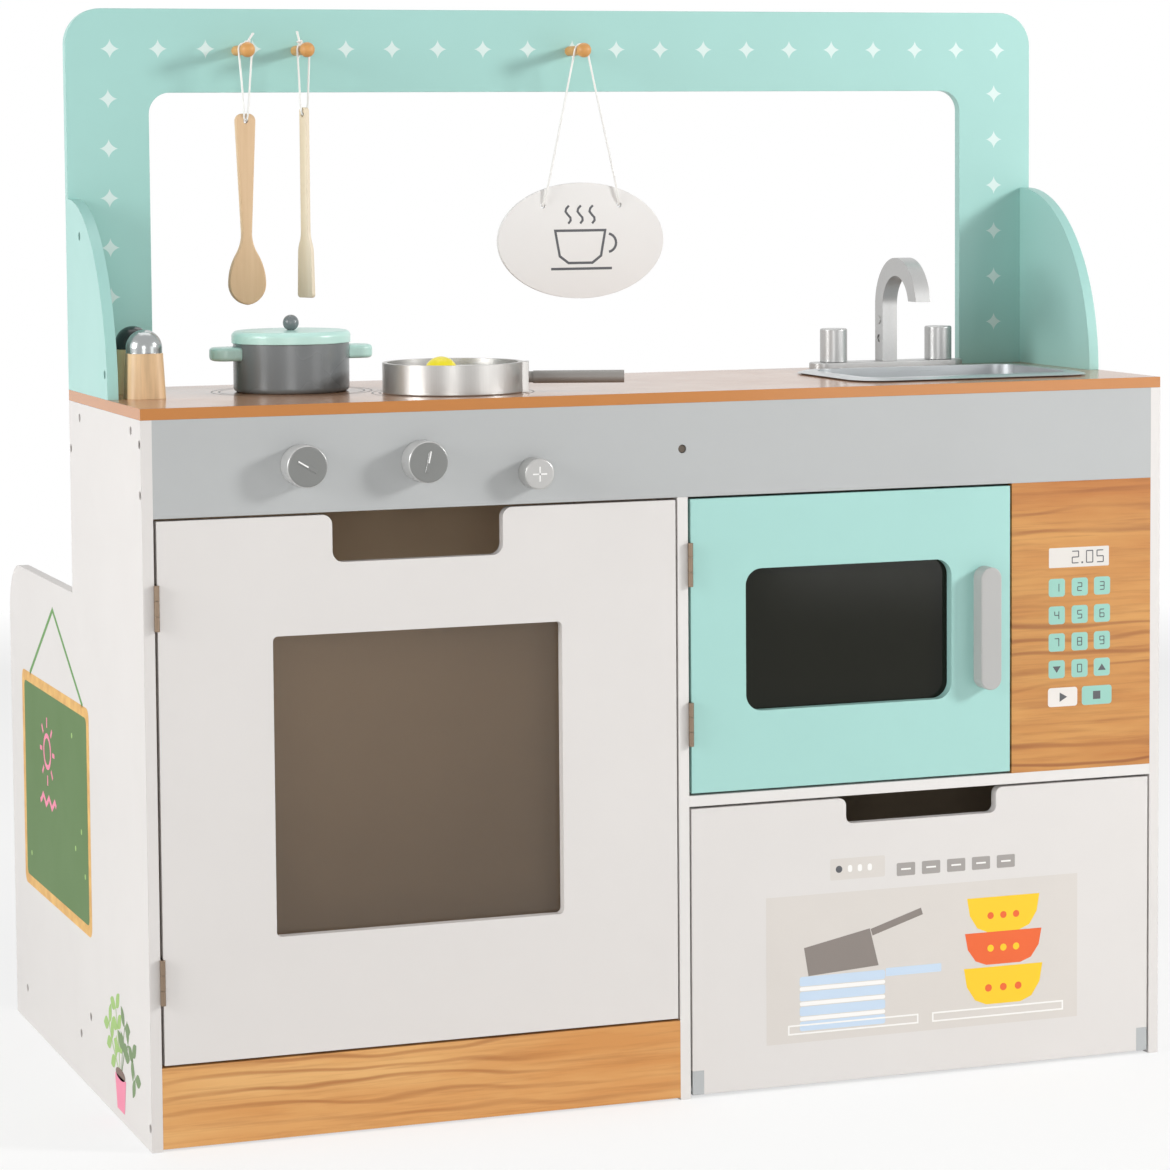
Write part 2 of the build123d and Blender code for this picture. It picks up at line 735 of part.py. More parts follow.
with BuildPart() as microwave_hinge_leaves:
    for z in micro_hinge_zs:
        leaf_x = micro_hinge_x + hinge_gap / 2 - leaf_thickness
        low_z = z - hinge_height / 2
        slab((leaf_x, front_y, low_z), (leaf_x + leaf_thickness, skin_y, low_z + hinge_height))
        for knuckle_low in (low_z, low_z + hinge_height - outer_knuckle):
            slab((leaf_x, hinge_axis_y, knuckle_low),
                 (leaf_x + leaf_thickness, front_y, knuckle_low + outer_knuckle))
            rod((micro_hinge_x, hinge_axis_y, knuckle_low), (0, 0, 1), knuckle_radius, outer_knuckle)
            rod((micro_hinge_x, hinge_axis_y, knuckle_low), (0, 0, 1), pin_radius + running_clearance,
                outer_knuckle, Mode.SUBTRACT)
microwave_hinge_leaves.part.label = "microwave_hinge_leaves"
export_step(microwave_hinge_leaves.part, "parts/microwave_hinge_leaves.step")

# Magnet catches behind the doors
catch_back = catch_front + catch_depth
with BuildPart() as magnet_catches:
    slab((divider_left - catch_width, catch_front, oven_catch_z - catch_height / 2),
         (divider_left, catch_back, oven_catch_z + catch_height / 2))
    slab((keypad_left - catch_width, catch_front, micro_catch_z - catch_height / 2),
         (keypad_left + catch_width, catch_back, micro_catch_z + catch_height / 2))
    slab((keypad_left, skin_y, micro_catch_z - catch_height / 2),
         (keypad_left + catch_width, catch_front, micro_catch_z + catch_height / 2))
    slab((dish_catch_x - catch_width / 2, catch_front, shelf_bottom - catch_height),
         (dish_catch_x + catch_width / 2, catch_back, shelf_bottom))
magnet_catches.part.label = "magnet_catches"
export_step(magnet_catches.part, "parts/magnet_catches.step")

# Steel strike plates on the doors
with BuildPart() as oven_strike_plate:
    slab((oven_right - strike_width, skin_y, oven_catch_z - strike_height / 2),
         (oven_right, skin_y + strike_thickness, oven_catch_z + strike_height / 2))
oven_strike_plate.part.label = "oven_strike_plate"
export_step(oven_strike_plate.part, "parts/oven_strike_plate.step")

with BuildPart() as microwave_strike_plate:
    slab((micro_right - strike_width, skin_y, micro_catch_z - strike_height / 2),
         (micro_right, skin_y + strike_thickness, micro_catch_z + strike_height / 2))
microwave_strike_plate.part.label = "microwave_strike_plate"
export_step(microwave_strike_plate.part, "parts/microwave_strike_plate.step")

with BuildPart() as dishwasher_strike_plate:
    slab((dish_catch_x - strike_width / 2, skin_y, dish_top - strike_height),
         (dish_catch_x + strike_width / 2, skin_y + strike_thickness, dish_top))
dishwasher_strike_plate.part.label = "dishwasher_strike_plate"
export_step(dishwasher_strike_plate.part, "parts/dishwasher_strike_plate.step")

# Control knobs on the fascia
knob_face_y = front_y - knob_reach + pointer_height
knob_back_y = front_y - body_gap
knob_bore = spindle_radius + running_clearance
with BuildPart() as left_knob:
    rod((knob_xs[0], knob_back_y, knob_z), (0, -1, 0), knob_radius, knob_back_y - knob_face_y)
    fillet(left_knob.edges().group_by(Axis.Y)[0], knob_edge)
    with Locations(Location((knob_xs[0], knob_face_y, knob_z), (0, pointer_turns[0], 0))):
        Box(pointer_width, 2 * pointer_height, knob_radius,
            align=(Align.CENTER, Align.CENTER, Align.CENTER))
    rod((knob_xs[0], knob_back_y, knob_z), (0, -1, 0), knob_bore, spindle_bore_depth, Mode.SUBTRACT)
left_knob.part.label = "left_knob"
export_step(left_knob.part, "parts/left_knob.step")

with BuildPart() as middle_knob:
    rod((knob_xs[1], knob_back_y, knob_z), (0, -1, 0), knob_radius, knob_back_y - knob_face_y)
    fillet(middle_knob.edges().group_by(Axis.Y)[0], knob_edge)
    with Locations(Location((knob_xs[1], knob_face_y, knob_z), (0, pointer_turns[1], 0))):
        Box(pointer_width, 2 * pointer_height, knob_radius,
            align=(Align.CENTER, Align.CENTER, Align.CENTER))
    rod((knob_xs[1], knob_back_y, knob_z), (0, -1, 0), knob_bore, spindle_bore_depth, Mode.SUBTRACT)
middle_knob.part.label = "middle_knob"
export_step(middle_knob.part, "parts/middle_knob.step")

with BuildPart() as small_knob:
    rod((small_knob_x, knob_back_y, small_knob_z), (0, -1, 0), small_knob_radius,
        small_knob_reach - body_gap)
    fillet(small_knob.edges().group_by(Axis.Y)[0], knob_edge)
    rod((small_knob_x, knob_back_y, small_knob_z), (0, -1, 0), knob_bore, spindle_bore_depth,
        Mode.SUBTRACT)
small_knob.part.label = "small_knob"
export_step(small_knob.part, "parts/small_knob.step")

# Spindles for the knobs and taps
tap_y = top_rear_y - faucet_rear
tap_floor = counter_height + deck_thickness
tap_xs = (faucet_x - tap_reach, faucet_x + tap_reach)
knob_places = ((knob_xs[0], knob_z), (knob_xs[1], knob_z), (small_knob_x, small_knob_z))
spindle_stick = spindle_bore_depth - 2 * body_gap
with BuildPart() as spindles:
    for x, z in knob_places:
        rod((x, skin_y, z), (0, 1, 0), spindle_collar, spindle_collar_length)
        rod((x, skin_y, z), (0, -1, 0), spindle_radius, board + spindle_stick)
    for x in tap_xs:
        rod((x, tap_y, tap_floor), (0, 0, 1), spindle_radius, spindle_stick)
spindles.part.label = "spindles"
export_step(spindles.part, "parts/spindles.step")

# Sink basin
lip_top = counter_height + sink_lip
bowl_floor = lip_top - sink_bowl_depth
with BuildPart() as sink_basin:
    for rise, inset in ((0, sink_undercut), (sink_edge_rise, 0), (sink_lip, sink_slope)):
        with BuildSketch(Plane((sink_x, sink_centre_y, counter_height + rise))):
            RectangleRounded(sink_width - 2 * inset, sink_depth - 2 * inset, sink_corner - inset)
    loft(ruled=True)
    with BuildSketch(Plane.XY.offset(bowl_floor)):
        with Locations((sink_x, sink_centre_y)):
            RectangleRounded(bowl_width, bowl_depth, bowl_corner)
    extrude(amount=sink_bowl_depth)
    with BuildSketch(Plane.XY.offset(bowl_floor + sink_wall)):
        with Locations((sink_x, sink_centre_y)):
            RectangleRounded(bowl_width - 2 * sink_wall, bowl_depth - 2 * sink_wall,
                             bowl_corner - sink_wall)
    extrude(amount=sink_bowl_depth, mode=Mode.SUBTRACT)
    rod((sink_x, sink_centre_y, bowl_floor), (0, 0, 1), drain_radius, sink_wall, Mode.SUBTRACT)
sink_basin.part.label = "sink_basin"
export_step(sink_basin.part, "parts/sink_basin.step")

# Deck plate and two moulded halves of the faucet
with BuildPart() as faucet_deck:
    with BuildSketch(Plane.XY.offset(counter_height)):
        with Locations((faucet_x, tap_y)):
            SlotOverall(deck_length, deck_width)
    extrude(amount=deck_thickness)
    fillet(faucet_deck.edges().group_by(Axis.Z)[-1], faucet_edge)
faucet_deck.part.label = "faucet_deck"
export_step(faucet_deck.part, "parts/faucet_deck.step")

faucet_back_y = tap_y + faucet_band / 2
arc_radius = faucet_span / 2
arc_y = faucet_back_y - arc_radius
arc_z = faucet_top - arc_radius
half_band = faucet_width / 2
faucet_left = faucet_x - half_band


def faucet_outline():
    front = arc_y - arc_radius
    inner_top = faucet_top - faucet_band
    column_y = faucet_back_y - faucet_band
    with BuildLine() as outline:
        Line((faucet_back_y, tap_floor), (faucet_back_y, arc_z))
        ThreePointArc((faucet_back_y, arc_z), (arc_y, faucet_top), (front, arc_z))
        Line((front, arc_z), (front + faucet_band, arc_z))
        ThreePointArc((front + faucet_band, arc_z), (arc_y, inner_top), (column_y, arc_z))
        Line((column_y, arc_z), (column_y, tap_floor))
        Line((column_y, tap_floor), (faucet_back_y, tap_floor))
    make_face(outline.edges())
    with Locations((front, spout_end)):
        Rectangle(arc_radius, faucet_span, align=(Align.MIN, Align.MAX), mode=Mode.SUBTRACT)


with BuildPart() as faucet_left_half:
    with BuildSketch(Plane.YZ.offset(faucet_left)):
        faucet_outline()
    extrude(amount=half_band)
    start = (faucet_left, tap_y, faucet_screw_z)
    rod(start, (1, 0, 0), recess_radius, recess_depth, Mode.SUBTRACT)
    rod(start, (1, 0, 0), screw_radius + running_clearance, faucet_bore_depth, Mode.SUBTRACT)
    rod((faucet_left, tap_y, faucet_cap_z), (1, 0, 0), cap_radius + running_clearance, cap_depth,
        Mode.SUBTRACT)
faucet_left_half.part.label = "faucet_left_half"
export_step(faucet_left_half.part, "parts/faucet_left_half.step")

with BuildPart() as faucet_right_half:
    with BuildSketch(Plane.YZ.offset(faucet_x)):
        faucet_outline()
    extrude(amount=half_band)
    rod((faucet_left, tap_y, faucet_screw_z), (1, 0, 0), screw_radius + running_clearance,
        faucet_bore_depth, Mode.SUBTRACT)
faucet_right_half.part.label = "faucet_right_half"
export_step(faucet_right_half.part, "parts/faucet_right_half.step")

with BuildPart() as faucet_fittings:
    rod((faucet_left + head_sink, tap_y, faucet_screw_z), (1, 0, 0), screw_head_radius, head_length)
    rod((faucet_left + head_sink, tap_y, faucet_screw_z), (1, 0, 0), screw_radius, faucet_screw_length)
    rod((faucet_left - cap_proud, tap_y, faucet_cap_z), (1, 0, 0), cap_radius, cap_depth)
faucet_fittings.part.label = "faucet_fittings"
export_step(faucet_fittings.part, "parts/faucet_fittings.step")

# Taps that turn on their spindles
tap_low = tap_floor + body_gap
with BuildPart() as left_tap:
    rod((tap_xs[0], tap_y, tap_low), (0, 0, 1), tap_radius, tap_height)
    fillet(left_tap.edges().group_by(Axis.Z)[-1], tap_edge)
    rod((tap_xs[0], tap_y, tap_low), (0, 0, 1), knob_bore, spindle_bore_depth, Mode.SUBTRACT)
left_tap.part.label = "left_tap"
export_step(left_tap.part, "parts/left_tap.step")

with BuildPart() as right_tap:
    rod((tap_xs[1], tap_y, tap_low), (0, 0, 1), tap_radius, tap_height)
    fillet(right_tap.edges().group_by(Axis.Z)[-1], tap_edge)
    rod((tap_xs[1], tap_y, tap_low), (0, 0, 1), knob_bore, spindle_bore_depth, Mode.SUBTRACT)
right_tap.part.label = "right_tap"
export_step(right_tap.part, "parts/right_tap.step")

# Pot, its two handles and its lid
pot_x = -half_width + pot_inset
pot_centre_y = front_y + pot_y
pot_top = counter_height + pot_height
with BuildPart() as pot_body:
    rod((pot_x, pot_centre_y, counter_height), (0, 0, 1), pot_radius, pot_height)
    fillet(pot_body.edges().group_by(Axis.Z)[0], pot_edge)
    rod((pot_x, pot_centre_y, counter_height + pot_floor), (0, 0, 1), pot_radius - pot_wall, pot_height,
        Mode.SUBTRACT)
pot_body.part.label = "pot_body"
export_step(pot_body.part, "parts/pot_body.step")

with BuildPart() as pot_handles:
    with BuildSketch(Plane.XY.offset(counter_height + pot_handle_lift)):
        with Locations((pot_x, pot_centre_y)):
            RectangleRounded(2 * (pot_radius + pot_handle_reach), pot_handle_width, pot_handle_round)
            Circle(pot_radius, mode=Mode.SUBTRACT)
    extrude(amount=pot_handle_height)
    rims = pot_handles.edges().filter_by(Plane.XY)
    fillet([e for e in rims if hypot(e.center().X - pot_x, e.center().Y - pot_centre_y) > lid_radius],
           pot_handle_edge)
pot_handles.part.label = "pot_handles"
export_step(pot_handles.part, "parts/pot_handles.step")

lid_stem_length = lid_thickness / 2
with BuildPart() as pot_lid:
    rod((pot_x, pot_centre_y, pot_top), (0, 0, 1), lid_radius, lid_thickness)
    fillet(pot_lid.edges().group_by(Axis.Z)[-1], lid_edge)
    rod((pot_x, pot_centre_y, pot_top - lid_plug_depth), (0, 0, 1), pot_radius - pot_wall - body_gap,
        lid_plug_depth)
    rod((pot_x, pot_centre_y, pot_top + lid_thickness - lid_stem_length), (0, 0, 1), lid_stem_radius,
        lid_stem_length, Mode.SUBTRACT)
pot_lid.part.label = "pot_lid"
export_step(pot_lid.part, "parts/pot_lid.step")

with BuildPart() as pot_lid_knob:
    ball_z = pot_top + lid_thickness + lid_ball_rise
    with Locations((pot_x, pot_centre_y, ball_z)):
        Sphere(lid_ball_radius)
    slab((pot_x - lid_radius, pot_centre_y - lid_radius, pot_top + lid_thickness),
         (pot_x + lid_radius, pot_centre_y + lid_radius, ball_z + lid_radius), Mode.INTERSECT)
    rod((pot_x, pot_centre_y, pot_top + lid_thickness - lid_stem_length), (0, 0, 1), lid_stem_radius,
        lid_stem_length + lid_ball_rise)
pot_lid_knob.part.label = "pot_lid_knob"
export_step(pot_lid_knob.part, "parts/pot_lid_knob.step")

# Frying pan
pan_x = -half_width + pan_inset
pan_centre_y = front_y + pan_y
pan_way = (cos(radians(pan_turn)), sin(radians(pan_turn)), 0)
lug_end = pan_radius + pan_lug_reach
collar_start = lug_end - pan_tenon_length
collar_end = pan_tenon_length + pan_collar_length
handle_start = lug_end + pan_collar_length
handle_axis_z = counter_height + pan_handle_lift
collar_point = (pan_x + collar_start * pan_way[0], pan_centre_y + collar_start * pan_way[1], handle_axis_z)
handle_point = (pan_x + handle_start * pan_way[0], pan_centre_y + handle_start * pan_way[1], handle_axis_z)
with BuildPart() as pan_body:
    rod((pan_x, pan_centre_y, counter_height), (0, 0, 1), pan_radius, pan_height)
    fillet(pan_body.edges().group_by(Axis.Z)[0], pan_edge)
    with Locations(Location((pan_x, pan_centre_y, counter_height), (0, 0, pan_turn))):
        Box(lug_end, pan_lug_width, pan_height, align=(Align.MIN, Align.CENTER, Align.MIN))
    rod((pan_x, pan_centre_y, counter_height + pan_floor), (0, 0, 1), pan_radius - pan_wall, pan_height,
        Mode.SUBTRACT)
    rod(collar_point, pan_way, pan_collar_radius, collar_end, Mode.SUBTRACT)
pan_body.part.label = "pan_body"
export_step(pan_body.part, "parts/pan_body.step")

with BuildPart() as pan_handle:
    rod(collar_point, pan_way, pan_collar_radius, collar_end)
    rod(handle_point, pan_way, pan_handle_radius, pan_handle_length)
pan_handle.part.label = "pan_handle"
export_step(pan_handle.part, "parts/pan_handle.step")

# Fried egg
egg_floor = counter_height + pan_floor
egg_top = egg_floor + egg_thickness
with BuildPart() as egg_white:
    with BuildSketch(Plane.XY.offset(egg_floor)):
        with Locations((pan_x, pan_centre_y)):
            Circle(egg_radius)
        with Locations((pan_x + egg_lobe_shift, pan_centre_y + egg_lobe_shift)):
            Circle(egg_lobe_radius)
    extrude(amount=egg_thickness)
    fillet(egg_white.edges().group_by(Axis.Z)[-1], egg_edge)
egg_white.part.label = "egg_white"
export_step(egg_white.part, "parts/egg_white.step")

yolk_ball = (yolk_radius ** 2 + yolk_rise ** 2) / (2 * yolk_rise)
with BuildPart() as egg_yolk:
    with Locations((pan_x - yolk_shift, pan_centre_y, egg_top + yolk_rise - yolk_ball)):
        Sphere(yolk_ball)
    slab((pan_x - pan_radius, pan_centre_y - pan_radius, egg_top),
         (pan_x + pan_radius, pan_centre_y + pan_radius, egg_top + pan_radius), Mode.INTERSECT)
egg_yolk.part.label = "egg_yolk"
export_step(egg_yolk.part, "parts/egg_yolk.step")


# Salt and pepper shakers, a square tapered body with a domed cap
def shaker(x, y):
    neck_z = counter_height + shaker_body_height
    ball_z = neck_z + shaker_dome_height - shaker_dome_radius
    with BuildSketch(Plane((x, y, counter_height))) as foot:
        RectangleRounded(shaker_base_width, shaker_base_width, shaker_corner)
    with BuildSketch(Plane((x, y, neck_z))) as neck:
        RectangleRounded(shaker_neck_width, shaker_neck_width, shaker_corner)
    loft([foot.sketch, neck.sketch], ruled=True)
    rod((x, y, neck_z), (0, 0, 1), shaker_dome_radius, ball_z - neck_z)
    with Locations((x, y, ball_z)):
        Sphere(shaker_dome_radius)


with BuildPart() as salt_shaker:
    shaker(-half_width + salt_inset, front_y + salt_y)
salt_shaker.part.label = "salt_shaker"
export_step(salt_shaker.part, "parts/salt_shaker.step")

with BuildPart() as pepper_shaker:
    shaker(-half_width + pepper_inset, front_y + pepper_y)
pepper_shaker.part.label = "pepper_shaker"
export_step(pepper_shaker.part, "parts/pepper_shaker.step")

# Spoon, its handle flaring into a round bowl that is hollowed at the rear
tool_y = back_panel_y - hang_reach
spoon_low = spoon_top - tool_length
spoon_rear = tool_y + spoon_thickness / 2
spoon_plane = Plane(origin=(peg_xs[0], spoon_rear, spoon_low), x_dir=(1, 0, 0), z_dir=(0, -1, 0))
hollow_radius = spoon_bowl_width / 2 - spoon_hollow
hollow_ball = (hollow_radius ** 2 + spoon_hollow ** 2) / (2 * spoon_hollow)
with BuildPart() as spoon:
    with BuildSketch(spoon_plane) as spoon_outline:
        with BuildLine():
            neck = Vector(spoon_neck_width / 2, spoon_neck_rise)
            wide = Vector(spoon_bowl_width / 2, spoon_bowl_rise)
            Line((0, tool_length), (spoon_handle_width / 2, tool_length))
            Line((spoon_handle_width / 2, tool_length), neck)
            flare = TangentArc(neck, neck + (wide - neck) * spoon_flare_share, tangent=(0, -1))
            belly = TangentArc(flare @ 1, wide, tangent=flare % 1)
            TangentArc(belly @ 1, (0, 0), tangent=belly % 1)
            mirror(about=Plane.YZ)
        make_face()
        fillet(spoon_outline.vertices().group_by(Axis.Y)[-1], spoon_corner)
        with Locations((0, tool_length - hole_inset)):
            Circle(string_hole_radius, mode=Mode.SUBTRACT)
    extrude(amount=spoon_thickness)
    rims = [edge for face in spoon.faces().filter_by(Axis.Y) for edge in face.outer_wire().edges()]
    fillet(rims, spoon_edge)
    with Locations((peg_xs[0], spoon_rear - spoon_hollow + hollow_ball, spoon_low + spoon_bowl_rise)):
        Sphere(hollow_ball, mode=Mode.SUBTRACT)
spoon.part.label = "spoon"
export_step(spoon.part, "parts/spoon.step")

# Spatula, hanging turned on its string
turn = radians(spatula_turn)
spatula_low = spatula_top - tool_length
spatula_plane = Plane(origin=(peg_xs[1], tool_y, spatula_low), x_dir=(cos(turn), sin(turn), 0),
                      z_dir=(sin(turn), -cos(turn), 0))
with BuildPart() as spatula:
    with BuildSketch(spatula_plane) as spatula_outline:
        with BuildLine():
            neck = Vector(spatula_handle_width / 2, spatula_neck_rise)
            shoulder = Vector(spatula_shoulder_width / 2, spatula_blade_height)
            Line((0, tool_length), (neck.X, tool_length))
            Line((neck.X, tool_length), neck)
            flare = TangentArc(neck, (neck + shoulder) / 2, tangent=(0, -1))
            TangentArc(flare @ 1, shoulder, tangent=flare % 1)
            Line(shoulder, (spatula_blade_width / 2, 0))
            Line((spatula_blade_width / 2, 0), (0, 0))
            mirror(about=Plane.YZ)
        make_face()
        ends = spatula_outline.vertices().group_by(Axis.Y)
        fillet(ends[0] + ends[-1], spatula_corner)
        with Locations((0, tool_length - hole_inset)):
            Circle(string_hole_radius, mode=Mode.SUBTRACT)
    extrude(amount=spatula_thickness / 2, both=True)
    rims = [edge for face in spatula.faces().filter_by(spatula_plane) for edge in face.outer_wire().edges()]
    fillet(rims, spatula_edge)
spatula.part.label = "spatula"
export_step(spatula.part, "parts/spatula.step")

# Oval sign
sign_front = tool_y - sign_thickness / 2
with BuildPart() as sign_board:
    with BuildSketch(Plane.XZ.offset(-sign_front)):
        with Locations((peg_xs[2], sign_centre_z)):
            Ellipse(sign_width / 2, sign_height / 2)
        with Locations((peg_xs[2] - sign_hole_x, sign_hole_z), (peg_xs[2] + sign_hole_x, sign_hole_z)):
            Circle(string_hole_radius, mode=Mode.SUBTRACT)
    extrude(amount=-sign_thickness)
sign_board.part.label = "sign_board"
export_step(sign_board.part, "parts/sign_board.step")


# Strings from the holes over the pegs, each on points chosen for its route
def string_route(peg_x, spread, hole_z, out, right_y, steps, end_share=0.0):
    out_x, left_y = out
    loop_radius = peg_radius + string_radius + body_gap
    climb = peg_z - hole_z
    lean = atan2(climb, spread - out_x) + asin(loop_radius / hypot(climb, spread - out_x))
    reach = (climb + loop_radius) / tan(lean)
    route = []
    for side, out_y in ((-1, left_y), (1, right_y)):
        strand = [(peg_x + side * (spread - end_share * out_x), tool_y + end_share * out_y, hole_z)]
        for step in range(steps + 1):
            share = step / steps
            bow = string_bow if 0 < step < steps and step % 2 else 0.0
            strand.append((peg_x + side * (spread - out_x - reach * share), tool_y + out_y - bow,
                           hole_z + (climb + loop_radius) * share))
        route += strand if side < 0 else strand[::-1]
    return route


def bend_radii(points):
    bends = []
    for before, here, after in zip(points, points[1:], points[2:]):
        first = Vector(*here) - Vector(*before)
        second = Vector(*after) - Vector(*here)
        half_turn = radians(first.get_angle(second)) / 2
        bends.append(bend_share * min(first.length, second.length) / tan(half_turn))
    return bends


def string_tube(points):
    with BuildLine() as route:
        FilletPolyline(*points, radius=bend_radii(points))
    with BuildSketch(route.line ^ 0) as ring:
        Circle(string_radius)
    sweep(ring.sketch, path=route.line)


string_way = (0, -string_out)
spoon_route = string_route(peg_xs[0], string_spread, spoon_top - hole_inset, string_way, -string_out, 2)
with BuildPart() as spoon_string:
    string_tube(spoon_route)
spoon_string.part.label = "spoon_string"
export_step(spoon_string.part, "parts/spoon_string.step")

spatula_out = (spatula_string_out * sin(turn), -spatula_string_out * cos(turn))
spatula_route = string_route(peg_xs[1], 0.0, spatula_top - hole_inset, spatula_out, -spatula_out[1], 2,
                             spatula_end_share)
with BuildPart() as spatula_string:
    string_tube(spatula_route)
spatula_string.part.label = "spatula_string"
export_step(spatula_string.part, "parts/spatula_string.step")

sign_route = string_route(peg_xs[2], sign_hole_x, sign_hole_z, string_way, -string_out, 3)
with BuildPart() as sign_string:
    string_tube(sign_route)
sign_string.part.label = "sign_string"
export_step(sign_string.part, "parts/sign_string.step")
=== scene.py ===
import math

import bpy
from mathutils import Matrix, Vector


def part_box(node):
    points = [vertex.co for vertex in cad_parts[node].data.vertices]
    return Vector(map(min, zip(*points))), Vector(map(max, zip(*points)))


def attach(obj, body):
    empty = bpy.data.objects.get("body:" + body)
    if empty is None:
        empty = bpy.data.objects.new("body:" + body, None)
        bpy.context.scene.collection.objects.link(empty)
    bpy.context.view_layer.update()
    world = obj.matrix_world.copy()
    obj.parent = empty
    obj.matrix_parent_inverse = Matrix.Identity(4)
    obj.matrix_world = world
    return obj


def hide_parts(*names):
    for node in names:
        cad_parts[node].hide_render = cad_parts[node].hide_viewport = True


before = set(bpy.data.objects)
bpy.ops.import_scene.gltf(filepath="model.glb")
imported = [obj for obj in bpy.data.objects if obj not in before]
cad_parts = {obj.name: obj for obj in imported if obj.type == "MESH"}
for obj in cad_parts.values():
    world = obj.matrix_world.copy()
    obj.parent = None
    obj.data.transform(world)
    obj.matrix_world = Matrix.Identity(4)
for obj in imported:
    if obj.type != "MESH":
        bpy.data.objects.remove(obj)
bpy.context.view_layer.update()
MM = 0.001

# The front plane of the cabinet, the worktop and other places taken from the frame
FRONT_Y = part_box("control_fascia")[0][1]
LEFT_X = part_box("left_side_panel")[0][0]
TOP_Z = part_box("worktop")[1][2]
ARCH_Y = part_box("arch_panel")[0][1]
SIGN_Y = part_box("sign_board")[0][1]

# Camera fitted to the photograph
CAMERA_PLACE = (-1.1095, -2.8342 + FRONT_Y, 0.7867)
CAMERA_YAW = 0.34892
CAMERA_PITCH = 0.0761
CAMERA_ROLL = -0.00753
CAMERA_LENS = 115.48
CAMERA_SHIFT_Y = -0.1325


def add_camera():
    sy, cy = math.sin(CAMERA_YAW), math.cos(CAMERA_YAW)
    sp, cp = math.sin(CAMERA_PITCH), math.cos(CAMERA_PITCH)
    forward = Vector((sy * cp, cy * cp, -sp))
    side = Vector((cy, -sy, 0.0))
    up = side.cross(forward)
    right = side * math.cos(CAMERA_ROLL) + up * math.sin(CAMERA_ROLL)
    top = up * math.cos(CAMERA_ROLL) - side * math.sin(CAMERA_ROLL)
    data = bpy.data.cameras.new("camera")
    data.lens = CAMERA_LENS
    data.sensor_width = 36.0
    data.shift_y = CAMERA_SHIFT_Y
    data.clip_end = 50.0
    camera = bpy.data.objects.new("camera", data)
    turn = Matrix((right, top, -forward)).transposed().to_4x4()
    camera.matrix_world = Matrix.Translation(CAMERA_PLACE) @ turn
    bpy.context.scene.collection.objects.link(camera)
    bpy.context.scene.camera = camera


# An sRGB hex colour as linear values with full alpha
def linear(code):
    values = [int(code[i:i + 2], 16) / 255 for i in (0, 2, 4)]
    return tuple(v / 12.92 if v <= 0.04045 else ((v + 0.055) / 1.055) ** 2.4 for v in values) + (1.0,)


def darker(colour, part):
    return tuple(c * part for c in colour[:3]) + (1.0,)


def add_node(tree, kind, links=None, **settings):
    node = tree.nodes.new(kind)
    for key, value in settings.items():
        setattr(node, key, value)
    for key, value in (links or {}).items():
        if isinstance(value, bpy.types.NodeSocket):
            tree.links.new(value, node.inputs[key])
        else:
            node.inputs[key].default_value = value
    return node


def new_material(name):
    material = bpy.data.materials.new(name)
    material.use_nodes = True
    tree = material.node_tree
    return material, tree, tree.nodes["Principled BSDF"]


# Cloudy noise with patches of one size in millimetres, drawn out along an axis where its stretch is small
EVEN = (1.0, 1.0, 1.0)


def patches(tree, size, stretch=EVEN, detail=3.0):
    coords = add_node(tree, "ShaderNodeTexCoord")
    mapping = add_node(tree, "ShaderNodeMapping", {"Vector": coords.outputs["Object"], "Scale": stretch})
    noise = add_node(tree, "ShaderNodeTexNoise", {"Vector": mapping.outputs["Vector"], "Scale": 1 / (size * MM),
                                                  "Detail": detail, "Roughness": 0.6})
    return noise.outputs["Fac"]


# Edges softened by a radius in millimetres, and fine relief where a height is given
def soften(tree, shader, radius, height=None, strength=0.0, distance=0.3):
    normal = add_node(tree, "ShaderNodeBevel", {"Radius": radius * MM}, samples=4).outputs["Normal"]
    if height is not None:
        normal = add_node(tree, "ShaderNodeBump", {"Strength": strength, "Distance": distance * MM,
                                                   "Height": height, "Normal": normal}).outputs["Normal"]
    tree.links.new(normal, shader.inputs["Normal"])


# Paint, laminate or enamel: orange peel of one size in millimetres, faint tone changes over a hand's width,
# and roughness that follows them
PEEL = 1.4286
TONE_PATCH = 111.1


def coated(name, code, rough=0.35, metal=0.0, peel=PEEL, depth=0.05, tone=0.03, edge=0.6, other=None, mask=None):
    material, tree, shader = new_material(name)
    base = linear(code)
    cloud = patches(tree, TONE_PATCH)
    paint = add_node(tree, "ShaderNodeMix", {0: cloud, 6: base, 7: darker(base, 1.0 - 2 * tone)},
                     data_type="RGBA")
    if other:
        paint = add_node(tree, "ShaderNodeMix", {0: mask(tree), 6: paint.outputs[2], 7: linear(other)},
                         data_type="RGBA")
    spread = add_node(tree, "ShaderNodeMapRange", {"Value": cloud, "To Min": rough - 0.06, "To Max": rough + 0.08})
    tree.links.new(paint.outputs[2], shader.inputs["Base Color"])
    tree.links.new(spread.outputs["Result"], shader.inputs["Roughness"])
    shader.inputs["Metallic"].default_value = metal
    soften(tree, shader, edge, patches(tree, peel, detail=2.0), depth)
    return material


# Solid wood: streaks of one width along an axis in two tones. Real pores are too fine to show in the render,
# so they are drawn 3.8 mm wide.
STREAK_WIDTH = 16.67
PORE_WIDTH = 3.846


